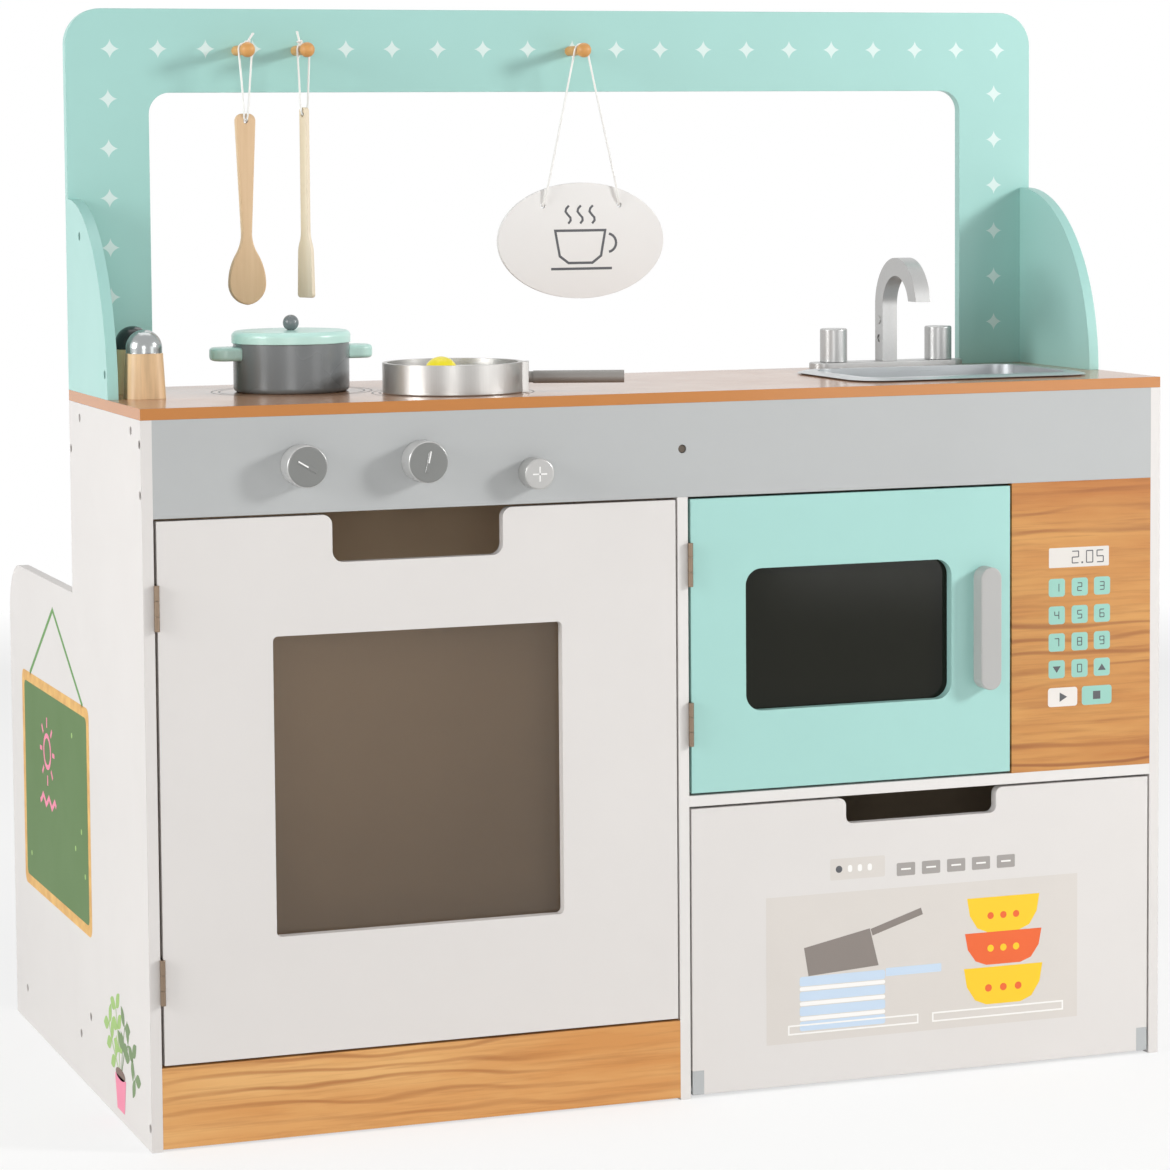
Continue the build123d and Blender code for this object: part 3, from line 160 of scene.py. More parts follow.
def wooden(name, light, dark, along="Z", rough=0.5, streak=STREAK_WIDTH):
    material, tree, shader = new_material(name)
    across = {"X": (0.0, 1.0, 1.0), "Z": (1.0, 1.0, 0.0)}[along]
    waves = patches(tree, streak, tuple(c or 0.07 for c in across), 5.0)
    pores = patches(tree, PORE_WIDTH, tuple(c or 0.03 for c in across), 4.0)
    tones = add_node(tree, "ShaderNodeMapRange", {"Value": waves, "From Min": 0.35, "From Max": 0.72})
    body = add_node(tree, "ShaderNodeMix", {0: tones.outputs["Result"], 6: linear(light), 7: linear(dark)},
                    data_type="RGBA")
    specks = add_node(tree, "ShaderNodeMapRange",
                      {"Value": pores, "From Min": 0.5, "From Max": 0.75, "To Max": 0.25})
    wood = add_node(tree, "ShaderNodeMix", {0: specks.outputs["Result"], 6: body.outputs[2], 7: linear(dark)},
                    data_type="RGBA")
    tree.links.new(wood.outputs[2], shader.inputs["Base Color"])
    shader.inputs["Roughness"].default_value = rough
    soften(tree, shader, 0.6, pores, 0.12)
    return material


# Oak printed on laminate: cloudy bands, dark year lines 14.3 mm apart that come and go, and pores. Real pores
# are too fine to show in the render, so they are drawn 4.3 mm wide.
YEAR_LINE = 14.28
OAK_BAND = 38.46
LINE_GAP = 58.82
OAK_PORE = 4.348


def printed_oak(name, light, middle, dark, rough=0.4):
    material, tree, shader = new_material(name)
    coords = add_node(tree, "ShaderNodeTexCoord")
    drift = add_node(tree, "ShaderNodeMapping", {"Vector": coords.outputs["Object"], "Scale": (0.22, 1.0, 1.0)})
    rings = add_node(tree, "ShaderNodeTexWave",
                     {"Vector": drift.outputs["Vector"], "Scale": math.pi / 10 / (YEAR_LINE * MM),
                      "Distortion": 14.0, "Detail": 3.0, "Detail Scale": 0.45, "Detail Roughness": 0.7},
                     bands_direction="Z")
    bands = patches(tree, OAK_BAND, (0.12, 1.0, 1.0), 5.0)
    gaps = patches(tree, LINE_GAP, (0.16, 1.0, 1.0), 2.0)
    pores = patches(tree, OAK_PORE, (0.04, 1.0, 1.0), 5.0)
    tones = add_node(tree, "ShaderNodeMapRange", {"Value": bands, "From Min": 0.36, "From Max": 0.66})
    body = add_node(tree, "ShaderNodeMix", {0: tones.outputs["Result"], 6: linear(light), 7: linear(middle)},
                    data_type="RGBA")
    peaks = add_node(tree, "ShaderNodeMapRange", {"Value": rings.outputs["Fac"], "From Min": 0.72})
    shown = add_node(tree, "ShaderNodeMapRange",
                     {"Value": gaps, "From Min": 0.42, "From Max": 0.66, "To Max": 0.75})
    lines = add_node(tree, "ShaderNodeMath", {0: peaks.outputs["Result"], 1: shown.outputs["Result"]},
                     operation="MULTIPLY")
    ringed = add_node(tree, "ShaderNodeMix", {0: lines.outputs[0], 6: body.outputs[2], 7: linear(dark)},
                      data_type="RGBA")
    specks = add_node(tree, "ShaderNodeMapRange",
                      {"Value": pores, "From Min": 0.48, "From Max": 0.72, "To Max": 0.42})
    oak = add_node(tree, "ShaderNodeMix", {0: specks.outputs["Result"], 6: ringed.outputs[2], 7: linear(dark)},
                   data_type="RGBA")
    tree.links.new(oak.outputs[2], shader.inputs["Base Color"])
    shader.inputs["Roughness"].default_value = rough
    soften(tree, shader, 0.6)
    return material


# Metal or metallic paint with fine lines. Real brush lines are too fine to show in the render, so they are
# drawn 1.1 mm apart.
BRUSH_LINE = 1.111
LENGTHWISE = (0.02, 1.0, 1.0)
ROUND = (1.0, 1.0, 0.02)


def brushed(name, code, rough=0.32, stretch=LENGTHWISE, metal=0.85):
    material, tree, shader = new_material(name)
    lines = patches(tree, BRUSH_LINE, stretch)
    base = linear(code)
    colour = add_node(tree, "ShaderNodeMix", {0: lines, 6: base, 7: darker(base, 0.86)}, data_type="RGBA")
    spread = add_node(tree, "ShaderNodeMapRange", {"Value": lines, "To Min": rough - 0.08, "To Max": rough + 0.12})
    tree.links.new(colour.outputs[2], shader.inputs["Base Color"])
    tree.links.new(spread.outputs["Result"], shader.inputs["Roughness"])
    shader.inputs["Metallic"].default_value = metal
    soften(tree, shader, 0.4, lines, 0.06, 0.2)
    return material


# Acrylic sheet, IOR 1.49: tinted and see-through, with a gloss that handling smears in patches. A cover above
# 0 adds body colour.
SMEAR_PATCH = 71.43
ACRYLIC_IOR = 1.49


def acrylic(name, tint, gloss, body, cover):
    material, tree, shader = new_material(name)
    tree.nodes.remove(shader)
    clear = add_node(tree, "ShaderNodeBsdfTransparent", {"Color": linear(tint)})
    solid = add_node(tree, "ShaderNodeBsdfDiffuse", {"Color": linear(body)})
    smear = add_node(tree, "ShaderNodeMapRange", {"Value": patches(tree, SMEAR_PATCH, detail=2.0),
                                                  "To Min": 0.04, "To Max": 0.14})
    shine = add_node(tree, "ShaderNodeBsdfGlossy", {"Roughness": smear.outputs["Result"]})
    under = add_node(tree, "ShaderNodeMixShader", {0: cover, 1: clear.outputs[0], 2: solid.outputs[0]})
    edge = add_node(tree, "ShaderNodeFresnel", {"IOR": ACRYLIC_IOR})
    factor = add_node(tree, "ShaderNodeMath", {0: edge.outputs[0], 1: gloss}, operation="MULTIPLY")
    top = add_node(tree, "ShaderNodeMixShader", {0: factor.outputs[0], 1: under.outputs[0], 2: shine.outputs[0]})
    tree.links.new(top.outputs[0], tree.nodes["Material Output"].inputs["Surface"])
    return material


# A turned beech shaker, with grain 6 mm wide, under a glossy cap that starts at its neck
NECK_Z = TOP_Z + 36.6 * MM
SHAKER_GRAIN = 6.25


def capped(name, cap, metal):
    material, tree, shader = new_material(name)
    coords = add_node(tree, "ShaderNodeTexCoord")
    parts = add_node(tree, "ShaderNodeSeparateXYZ", {0: coords.outputs["Object"]})
    above = add_node(tree, "ShaderNodeMapRange", {"Value": parts.outputs["Z"], "From Min": NECK_Z - 0.1 * MM,
                                                  "From Max": NECK_Z + 0.1 * MM}).outputs["Result"]
    light = linear("E4C296")
    fibres = add_node(tree, "ShaderNodeMapRange", {"Value": patches(tree, SHAKER_GRAIN, (1.0, 1.0, 0.06), 4.0),
                                                   "From Min": 0.35, "From Max": 0.7})
    body = add_node(tree, "ShaderNodeMix", {0: fibres.outputs["Result"], 6: light, 7: darker(light, 0.72)},
                    data_type="RGBA")
    colour = add_node(tree, "ShaderNodeMix", {0: above, 6: body.outputs[2], 7: linear(cap)}, data_type="RGBA")
    gloss = add_node(tree, "ShaderNodeMapRange", {"Value": above, "To Min": 0.42, "To Max": 0.2})
    metallic = add_node(tree, "ShaderNodeMath", {0: above, 1: metal}, operation="MULTIPLY")
    tree.links.new(colour.outputs[2], shader.inputs["Base Color"])
    tree.links.new(gloss.outputs["Result"], shader.inputs["Roughness"])
    tree.links.new(metallic.outputs[0], shader.inputs["Metallic"])
    soften(tree, shader, 0.8)
    return material


# Which part of a piece faces one way along an axis
def facing(axis, low, sign):
    def mask(tree):
        coords = add_node(tree, "ShaderNodeTexCoord")
        parts = add_node(tree, "ShaderNodeSeparateXYZ", {0: coords.outputs["Normal"]})
        turned = add_node(tree, "ShaderNodeMath", {0: parts.outputs[axis], 1: sign}, operation="MULTIPLY")
        return add_node(tree, "ShaderNodeMapRange", {"Value": turned.outputs[0], "From Min": low,
                                                     "From Max": 0.9}).outputs["Result"]
    return mask


upwards = facing("Z", 0.5, 1.0)
frontwards = facing("Y", 0.6, -1.0)

# Melamine laminate on board: smooth and half matt, with a soft broad sheen
white_laminate = coated("white_laminate", "DAD6D3", 0.38)
grey_laminate = coated("grey_laminate", "B2B4B4", 0.36)
mint_laminate = coated("mint_laminate", "A1CFC8", 0.34)
# Glued paper edging: rougher than the faces, with board chips 2.4 mm wide showing through
board_edge = coated("white_board_edge", "DFDCD9", 0.5, peel=2.381, depth=0.12)
# Gloss laminate pressed flat: mirrors the sink, a browner top over an orange edge
worktop = coated("glossy_brown_laminate", "BE7B3C", 0.17, depth=0.02, other="B5896A", mask=upwards)
# Raw hardboard: dull, flat and blotchy
tan_hardboard = coated("tan_hardboard", "DAC4A8", 0.7, depth=0.0, tone=0.06)
# Oak picture printed on laminate: strong grain without relief, darker on the keypad
oak_print = printed_oak("oak_print_laminate", "DDAA6A", "CB8C4A", "9E5F28")
deep_oak_print = printed_oak("deep_oak_print_laminate", "CA924E", "B47233", "86471A", 0.42)
# Dipped gloss paint on turned wood: rounded edges and clear highlights
mint_paint = coated("mint_paint_on_wood", "C2E8DF", 0.28, edge=1.0)
egg_white = coated("egg_white_paint", "F4F3EF", 0.3, edge=1.5)
egg_yolk = coated("egg_yolk_paint", "F3E21C", 0.28)
# Baked enamel: a thick dark coat with a tight bright highlight
pot_grey = coated("dark_grey_enamel", "74797B", 0.26, edge=1.2)
# Sprayed satin paint on wood: an even colour with a soft highlight
handle_paint = coated("warm_grey_paint", "AFAEAC", 0.4, edge=1.0)
rod_grey = coated("grey_painted_handle", "8F8C88", 0.42)
# Painted sign board: flat white without a highlight
sign_white = coated("matt_white_sign_board", "E8E7E5", 0.5)
# Oiled or bare wood: low sheen, with streaks along the piece
beech = wooden("oiled_beech", "DCBD98", "CBA981")
pale_wood = wooden("pale_birch", "E6D9C2", "DAC9AA")
peg_wood = wooden("turned_beech_peg", "D9A25E", "C08545", "X", 0.45, 11.11)
# Beech shakers: one cap is chromed and mirrors the room, the other is painted black
salt_paint = capped("beech_body_chrome_cap", "A3A6A6", 0.85)
pepper_paint = capped("beech_body_black_cap", "1E2122", 0.0)
# Plated, bronzed and brushed steel: satin metal with drawn lines
zinc_plate = brushed("zinc_plated_steel", "B9B9B7", 0.35)
hinge_bronze = brushed("bronzed_hinge_steel", "8E7B69", 0.3)
sink_steel = brushed("brushed_sink_steel", "C6C9CB", 0.3)
# Dark bronzed screw heads: dull brown dots with little shine
screw_steel = coated("dark_bronzed_screw_steel", "5A5046", 0.35, 0.4)
# Metallic paint: softer than bare metal, sprayed evenly on the faucet and turned round the pan
silver_paint = brushed("silver_spray_paint", "BBBBBA", 0.33, EVEN, 0.6)
pan_silver = brushed("turned_silver_paint", "B9B7B4", 0.32, ROUND, 0.8)
# Moulded knobs: a darker printed face in a silver-painted side
knob_face = coated("knob_grey_face_silver_side", "CDCDCC", 0.3, 0.5, other="7F807E", mask=frontwards)
small_face = coated("small_knob_pale_face", "BDBDBB", 0.3, 0.5, other="B4B3B1", mask=frontwards)
# Moulded plastic: even colour and a waxy sheen
smoky_plastic = coated("smoky_moulded_plastic", "B4B7B8", 0.25)
catch_plastic = coated("white_catch_plastic", "DCDCDA", 0.4)
# Twisted cotton: fully matt, with strands 0.6 mm wide
string_cotton = coated("white_cotton_string", "EFEFEC", 0.85, peel=0.5556, depth=0.6)
# Cast acrylic: a clear sheet with a trace of haze whose taupe colour is painted light, lifting the window toward
# the lit hardboard behind it, and a smoked sheet that is nearly black
clear_sheet = acrylic("clear_acrylic_sheet", "F8F4EF", 0.7, "A8998A", 0.07)
dark_sheet = acrylic("dark_acrylic_sheet", "4E5A48", 0.5, "24251A", 0.5)

PAINT = {
    white_laminate: ["left_side_panel", "right_side_panel", "oven_door", "dishwasher_door", "rear_floor",
                     "rear_shelf"],
    board_edge: ["centre_divider", "microwave_floor", "dishwasher_floor"],
    tan_hardboard: ["kitchen_back_panel", "oven_floor"],
    grey_laminate: ["control_fascia"],
    mint_laminate: ["arch_panel", "left_wing", "right_wing", "microwave_door"],
    oak_print: ["plinth"],
    deep_oak_print: ["keypad_panel"],
    worktop: ["worktop"],
    peg_wood: ["utensil_pegs"],
    beech: ["spoon"],
    pale_wood: ["spatula"],
    screw_steel: ["panel_fasteners"],
    zinc_plate: ["faucet_fittings", "spindles", "oven_strike_plate", "microwave_strike_plate",
                 "dishwasher_strike_plate"],
    hinge_bronze: ["hinge_frame_leaves", "hinge_pins", "oven_hinge_leaves", "microwave_hinge_leaves"],
    silver_paint: ["faucet_deck", "faucet_left_half", "faucet_right_half", "left_tap", "right_tap"],
    sink_steel: ["sink_basin"],
    pan_silver: ["pan_body"],
    rod_grey: ["pan_handle"],
    knob_face: ["left_knob", "middle_knob"],
    small_face: ["small_knob"],
    handle_paint: ["microwave_handle"],
    pot_grey: ["pot_body", "pot_lid_knob"],
    mint_paint: ["pot_lid", "pot_handles"],
    smoky_plastic: ["dishwasher_pivots"],
    catch_plastic: ["magnet_catches"],
    egg_white: ["egg_white"],
    egg_yolk: ["egg_yolk"],
    salt_paint: ["salt_shaker"],
    pepper_paint: ["pepper_shaker"],
    sign_white: ["sign_board"],
    clear_sheet: ["oven_window"],
    dark_sheet: ["microwave_window"],
}


def paint_nodes():
    for material, names in PAINT.items():
        for name in names:
            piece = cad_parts[name]
            if not piece.data.materials:
                piece.data.materials.append(material)
            for place in piece.material_slots:
                place.material = material


# Strings: the routes of the part, in millimetres
STRING_DIAMETER = 1.8
STRINGS = {
    "spoon": ("hanging_spoon", 141.0, [
        (-299.2, -29.0, 808.0), (-299.2, -33.6, 808.0), (-301.5, -34.0, 840.2), (-303.4, -33.7, 861.5),
        (-303.8, -33.6, 872.4), (-292.2, -33.6, 872.4), (-292.6, -33.7, 861.5), (-294.5, -34.0, 840.2),
        (-296.8, -33.6, 808.0), (-296.8, -29.0, 808.0)]),
    "spatula": ("hanging_spatula", 132.0, [
        (-247.5, -29.5, 813.0), (-249.9, -30.5, 813.0), (-251.0, -30.9, 842.7), (-252.0, -30.5, 861.5),
        (-252.1, -30.5, 872.4), (-240.9, -27.5, 872.4), (-241.0, -27.5, 861.5), (-242.0, -27.9, 842.7),
        (-243.1, -27.5, 813.0), (-245.5, -28.5, 813.0)]),
    "sign": ("hanging_sign", 296.0, [
        (-35.0, -29.0, 733.5), (-35.0, -33.6, 733.5), (-24.8, -34.0, 779.8), (-14.6, -33.6, 826.1),
        (-6.9, -33.8, 861.5), (-4.3, -33.6, 872.4), (4.3, -33.6, 872.4), (6.9, -33.8, 861.5),
        (14.6, -33.6, 826.1), (24.8, -34.0, 779.8), (35.0, -33.6, 733.5), (35.0, -29.0, 733.5)]),
}


def cotton_line(name, body, routes, steps, capped_ends):
    data = bpy.data.curves.new(name, "CURVE")
    data.dimensions = "3D"
    data.bevel_depth = STRING_DIAMETER / 2 * MM
    data.bevel_resolution = 3
    data.resolution_u = steps
    data.use_fill_caps = capped_ends
    data.materials.append(string_cotton)
    for points in routes:
        spline = data.splines.new("NURBS")
        spline.points.add(len(points) - 1)
        for point, (x, y, z) in zip(spline.points, points):
            point.co = (x * MM, y * MM, z * MM, 1.0)
        spline.order_u = 3
        spline.use_endpoint_u = True
    piece = bpy.data.objects.new(name, data)
    bpy.context.scene.collection.objects.link(piece)
    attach(piece, body)
    return piece


def add_string(name, body, points):
    piece = cotton_line(name + "_string_cord", body, [points], 10, False)
    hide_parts(name + "_string")
    start = tuple(c * MM for c in points[0])


# The knot of a string on top of its peg, with two short tails; the way says where they point
KNOTS = (("spoon", "hanging_spoon", (-296.0, -33.6, 873.4), (5.0, 7.5)),
         ("spatula", "hanging_spatula", (-250.0, -30.2, 873.6), (-2.2, 9.0)))
TAIL_SPREAD = 1.6
KNOT_WIDTH = 2.0
KNOT_DEPTH = 1.1
TURN_RISE = 0.2


def add_knot(name, body, place, way):
    x, y, z = place
    out, up = way
    routes = [[(x, y, z), (x + out / 2, y + side, z + up / 2), (x + out + side, y + side * 2, z + up)]
              for side in (-TAIL_SPREAD / 2, TAIL_SPREAD / 2)]
    routes.append([(x + KNOT_WIDTH * math.cos(k * math.pi / 4), y + KNOT_DEPTH * math.sin(k * math.pi / 4),
                    z - 0.6 + TURN_RISE * k) for k in range(10)])
    cotton_line(name + "_string_knot", body, routes, 12, True)


# Printed pictures: flat shapes in millimetres on a face, in thin layers above it
LAYER = 0.04


def on_front(depth_y):
    return lambda u, v, layer: (u * MM, depth_y - layer * LAYER * MM, v * MM)


def on_left(u, v, layer):
    return (LEFT_X - layer * LAYER * MM, FRONT_Y + u * MM, v * MM)


def on_top(u, v, layer):
    return (u * MM, v * MM, TOP_Z + layer * LAYER * MM)


# Screen-printing ink: flat, even and half matt, too thin to have an edge
def ink(name, code, rough=0.4):
    return coated(name, code, rough, peel=0.6667, depth=0.03, tone=0.04, edge=0.05)


# A function that prints shapes on one face of a body
def printer(body, place):
    def print_shapes(name, material, layer, shapes):
        points = []
        faces = []
        for shape in shapes:
            faces.append(tuple(range(len(points), len(points) + len(shape))))
            points += [place(u, v, layer) for u, v in shape]
        mesh = bpy.data.meshes.new(name)
        mesh.from_pydata(points, [], faces)
        mesh.materials.append(material)
        piece = bpy.data.objects.new(name, mesh)
        bpy.context.scene.collection.objects.link(piece)
        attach(piece, body)
    return print_shapes


def around(u, v, r, degrees, squeeze=1.0):
    return u + r * math.cos(math.radians(degrees)), v + r * squeeze * math.sin(math.radians(degrees))


def block(u0, u1, v0, v1, r=0.0, steps=5):
    if r == 0.0:
        return [(u0, v0), (u1, v0), (u1, v1), (u0, v1)]
    corners = ((u1 - r, v0 + r, -90), (u1 - r, v1 - r, 0), (u0 + r, v1 - r, 90), (u0 + r, v0 + r, 180))
    return [around(u, v, r, a + 90 * k / steps) for u, v, a in corners for k in range(steps + 1)]


def disc(u, v, r, squeeze=1.0, steps=24):
    return [around(u, v, r, 360 * k / steps, squeeze) for k in range(steps)]


# A line of one width with mitred corners, as one four-sided face between each two points
def stroke(points, width):
    closed = math.dist(points[0], points[-1]) < 0.001
    ways = [math.atan2(v1 - v0, u1 - u0) for (u0, v0), (u1, v1) in zip(points, points[1:])]
    sides = []
    for k, (u, v) in enumerate(points):
        before = ways[k - 1] if k or closed else ways[0]
        after = ways[k] if k < len(ways) else ways[0 if closed else -1]
        half = math.remainder(after - before, 2 * math.pi) / 2
        reach = width / 2 / max(math.cos(half), 0.3)
        du, dv = -math.sin(before + half) * reach, math.cos(before + half) * reach
        sides.append(((u - du, v - dv), (u + du, v + dv)))
    return [[right0, right1, left1, left0] for (right0, left0), (right1, left1) in zip(sides, sides[1:])]


def arc(u, v, r, low, high, steps):
    return [around(u, v, r, low + (high - low) * k / steps) for k in range(steps + 1)]


LEAF_STEPS = 8


def leaf(u, v, angle, length, width):
    c, s = math.cos(math.radians(angle)), math.sin(math.radians(angle))
    edge = [(length * k / LEAF_STEPS, width / 2 * math.sin(math.pi * k / LEAF_STEPS))
            for k in range(LEAF_STEPS + 1)]
    outline = edge + [(a, -b) for a, b in edge[-2:0:-1]]
    return [(u + a * c - b * s, v + a * s + b * c) for a, b in outline]


# One leaflet at each point of a stem after the first, turned to one side of it
def leaflets(stem, length, width, turn):
    shapes = []
    for (u0, v0), (u1, v1) in zip(stem, stem[1:]):
        way = math.degrees(math.atan2(v1 - v0, u1 - u0))
        shapes.append(leaf(u1, v1, way + turn, length, width))
    return shapes


# Four points with sides that curve inwards
STAR_PINCH = 3.2
STAR_STEPS = 32
STAR_SIZE = 8.3


def star(u, v):
    shape = []
    for k in range(STAR_STEPS):
        turn = 2 * math.pi * (k + 0.5) / STAR_STEPS
        across, up = (STAR_SIZE * math.copysign(abs(way) ** STAR_PINCH, way)
                      for way in (math.cos(turn), math.sin(turn)))
        shape.append((u + across, v + up))
    return shape


# The bars of each figure, named as on a seven-bar display
DIGIT_BARS = {"0": "abcdef", "1": "bc", "2": "abged", "3": "abgcd", "4": "fgbc", "5": "afgcd", "6": "afgcde",
              "7": "abc", "8": "abcdefg", "9": "abcdfg"}


def digit(text, u, v, height, width):
    w, h = height * 0.3, height / 2
    ends = {"a": ((-w, h), (w, h)), "b": ((w, h), (w, 0)), "c": ((w, 0), (w, -h)), "d": ((-w, -h), (w, -h)),
            "e": ((-w, 0), (-w, -h)), "f": ((-w, h), (-w, 0)), "g": ((-w, 0), (w, 0))}
    shapes = []
    for bar in DIGIT_BARS[text]:
        shapes += stroke([(u + a, v + b) for a, b in ends[bar]], width)
    return shapes


# Printed colours, and a wood picture for the frame of the chalkboard
star_white = ink("star_print_pale", "D6E8E4")
key_mint = ink("key_print_mint", "96C8BA")
key_white = ink("key_print_white", "E6E0DA")
screen_grey = ink("screen_print_grey", "DDD8D2")
mark_dark = ink("mark_print_dark_grey", "55565A")
picture_ground = ink("picture_print_warm_grey", "D5CFC9")
picture_blue = ink("picture_print_pale_blue", "C5D7EA")
picture_white = ink("picture_print_white", "F3F1EE")
picture_yellow = ink("picture_print_yellow", "F4C81A")
picture_orange = ink("picture_print_orange", "E8632A")
board_green = ink("chalkboard_print_green", "517339", 0.55)
plank_print = wooden("plank_frame_print", "E5B65E", "C98F3A", "X", 0.45)
leaf_green = ink("leaf_print_green", "64834A")
leaf_light = ink("leaf_print_light_green", "97BE62")
cord_green = ink("cord_print_green", "488C1E")
pot_pink = ink("pot_print_pink", "EE7FA0")
button_grey = ink("button_print_warm_grey", "A09B97")
pan_grey = ink("saucepan_print_grey", "867D77")
soil_brown = ink("soil_print_brown", "6A4A3C")
hob_dark = ink("hob_ring_print_dark", "4A3A30", 0.3)
pointer_white = ink("pointer_white", "F4F3F1")


STARS_ACROSS = 21
STARS_DOWN = 6


def print_arch():
    stars = [star(-406.4 + 40.9 * k, 868.5) for k in range(STARS_ACROSS)]
    stars += [star(side * 408.5, top - 41.3 * k) for side, top in ((-1, 827.0), (1, 829.2))
              for k in range(STARS_DOWN)]
    add = printer("cabinet", on_front(ARCH_Y))
    add("arch_stars", star_white, 1, stars)


KEY_COLUMNS = (346.0, 367.7, 388.9)
KEY_ROWS = (408.5, 385.0, 361.8, 338.8)
KEY_HALF = 7.7
KEY_CORNER = 2.6


def print_keypad():
    add = printer("cabinet", on_front(FRONT_Y))
    add("keypad_screen", screen_grey, 1, [block(338.5, 395.4, 425.5, 442.4, 1.0)])
    figures = [bar for text, u in (("2", 363.5), ("0", 377), ("5", 387)) for bar in digit(text, u, 434, 10, 0.9)]
    figures.append(block(369.2, 370.8, 428.4, 430.0))
    add("keypad_figures", mark_dark, 2, figures)
    keys = [block(u - KEY_HALF, u + KEY_HALF, v - KEY_HALF, v + KEY_HALF, KEY_CORNER)
            for v in KEY_ROWS for u in KEY_COLUMNS]
    keys.append(block(369.9, 398.3, 306.8, 323.0, KEY_CORNER))
    add("keypad_keys", key_mint, 1, keys)
    add("keypad_start_key", key_white, 1, [block(337.8, 365.6, 306.8, 323.0, KEY_CORNER)])
    marks = []
    for k, text in enumerate("123456789"):
        marks += digit(text, KEY_COLUMNS[k % 3], KEY_ROWS[k // 3], 6.6, 0.8)
    marks += digit("0", KEY_COLUMNS[1], KEY_ROWS[3], 6.6, 0.8)
    marks.append([(342.2, 341.4), (346.0, 335.8), (349.8, 341.4)])
    marks.append([(385.1, 336.0), (392.7, 336.0), (388.9, 341.6)])
    marks.append([(348.8, 310.9), (356.0, 314.9), (348.8, 318.9)])
    marks.append(block(380.6, 387.6, 311.4, 318.4))
    add("keypad_marks", mark_dark, 2, marks)


# A bowl seen from the side, with half widths at its rim and foot
def bowl(u, v, top, foot, height):
    curve = [(foot + (top - foot) * math.cos(math.radians(a)), height * (1 - math.sin(math.radians(a))))
             for a in (0, 30, 60, 90)]
    return [(u - out, v + up) for out, up in curve] + [(u + out, v + up) for out, up in reversed(curve)]


BUTTON_PLACES = (205.3, 228.5, 251.8, 275.0, 298.3)
PLATE_STEP = 12.6


def print_dishwasher():
    add = printer("dishwasher_door_body", on_front(FRONT_Y))
    add("dish_ground", picture_ground, 1, [block(136, 186, 173, 191, 1.5), block(78, 366, 38.5, 162.5)])
    add("dish_buttons", button_grey, 1, [block(u - 8.5, u + 8.5, 172.3, 183.3, 1.2) for u in BUTTON_PLACES])
    lines = [block(u - 4.5, u + 4.5, 177.2, 178.6) for u in BUTTON_PLACES]
    lines += [block(152 + 9 * k, 156 + 9 * k, 179, 185, 1.9) for k in range(3)]
    for u0, u1 in ((98, 216), (230, 352)):
        lines += stroke([(u0, 46), (u1, 46), (u1, 53), (u0, 53), (u0, 46)], 1.4)
    add("dish_white_lines", picture_white, 3, lines)
    plates = [block(108, 186, 48 + PLATE_STEP * k, 56 + PLATE_STEP * k, 2.0) for k in range(4)]
    add("dish_plates", picture_blue, 2, plates + [block(186.5, 238, 88, 95, 1.0)])
    gaps = [block(108, 186, 56.6 + PLATE_STEP * k, 60 + PLATE_STEP * k, 1.6) for k in range(3)]
    add("dish_plate_gaps", picture_white, 2, gaps)
    pan = [[(112, 118), (172, 130), (180, 98), (116, 94)], *stroke([(173.6, 126.5), (220, 141)], 6.0)]
    add("dish_saucepan", pan_grey, 2, pan)
    add("dish_yellow_bowls", picture_yellow, 2, [bowl(296, 56, 37, 16, 32), bowl(296, 118, 34, 15, 30)])
    dots = [disc(282 + 14 * k, 70, 3.2) for k in range(3)] + [disc(284 + 12 * k, 132, 3.0) for k in range(3)]
    add("dish_orange_bowl", picture_orange, 3, [bowl(296, 90, 36, 16, 28)] + dots)
    add("dish_bowl_dots", picture_yellow, 4, [disc(284 + 12 * k, 104, 3.0) for k in range(3)])
    add("dish_label_dot", mark_dark, 2, [disc(144, 182, 3.0)])


SUN_PLACE = (372, 262)
RAYS = range(0, 360, 45)
LEAFLET_LENGTH = 20
LEAFLET_WIDTH = 11
LEAFLET_TURN = 62


# The chalkboard and the potted plant
def print_left_side():
    add = printer("cabinet", on_left)
    add("board_frame", plank_print, 1, [block(203, 476, 129.6, 322.6, 9.0)])
    add("board_green", board_green, 2, [block(213.0, 466.0, 138.5, 313.5, 6.0)])
    add("board_cord", cord_green, 1, stroke([(226, 322), (340, 390), (441, 322)], 4.4))
    chalk = stroke(arc(*SUN_PLACE, 14, 0, 360, 24), 4.4)
    for turn in RAYS:
        chalk += stroke([around(*SUN_PLACE, 21, turn), around(*SUN_PLACE, 30, turn)], 4.0)
    chalk += stroke([(338 + 6 * k, 218 + 4 * math.sin(k * 1.6)) for k in range(12)], 4.6)
    add("board_chalk", pot_pink, 3, chalk)
    specks = [disc(u, v, 2.4) for u, v in ((262, 196), (270, 291), (238, 214), (446, 160), (226, 178))]
    add("board_specks", leaf_light, 3, specks)
    stems = (("tall", leaf_light, 0.0, [(107, 36), (110, 56), (115, 74), (120, 90)]),
             ("rear", leaf_light, 0.5, [(106, 36), (122, 48), (136, 60), (145, 72)]),
             ("low", leaf_green, 0.0, [(104, 36), (92, 58), (78, 68), (64, 62), (54, 46)]),
             ("front", leaf_green, 0.5, [(104, 36), (98, 60), (89, 80)]))
    for name, material, lift, stem in stems:
        for side, turn in ((0, LEAFLET_TURN), (1, -LEAFLET_TURN)):
            add("plant_%s_leaves_%d" % (name, side), material, 1 + side + lift,
                leaflets(stem, LEAFLET_LENGTH, LEAFLET_WIDTH, turn))
        add("plant_%s_stem" % name, material, 2.8, stroke(stem, 1.8))
    add("plant_pot", pot_pink, 3, [[(93, 8), (119, 8), (126, 36), (87, 36)]])
    add("plant_soil", soil_brown, 3, [disc(106.5, 38, 17, 0.28)])


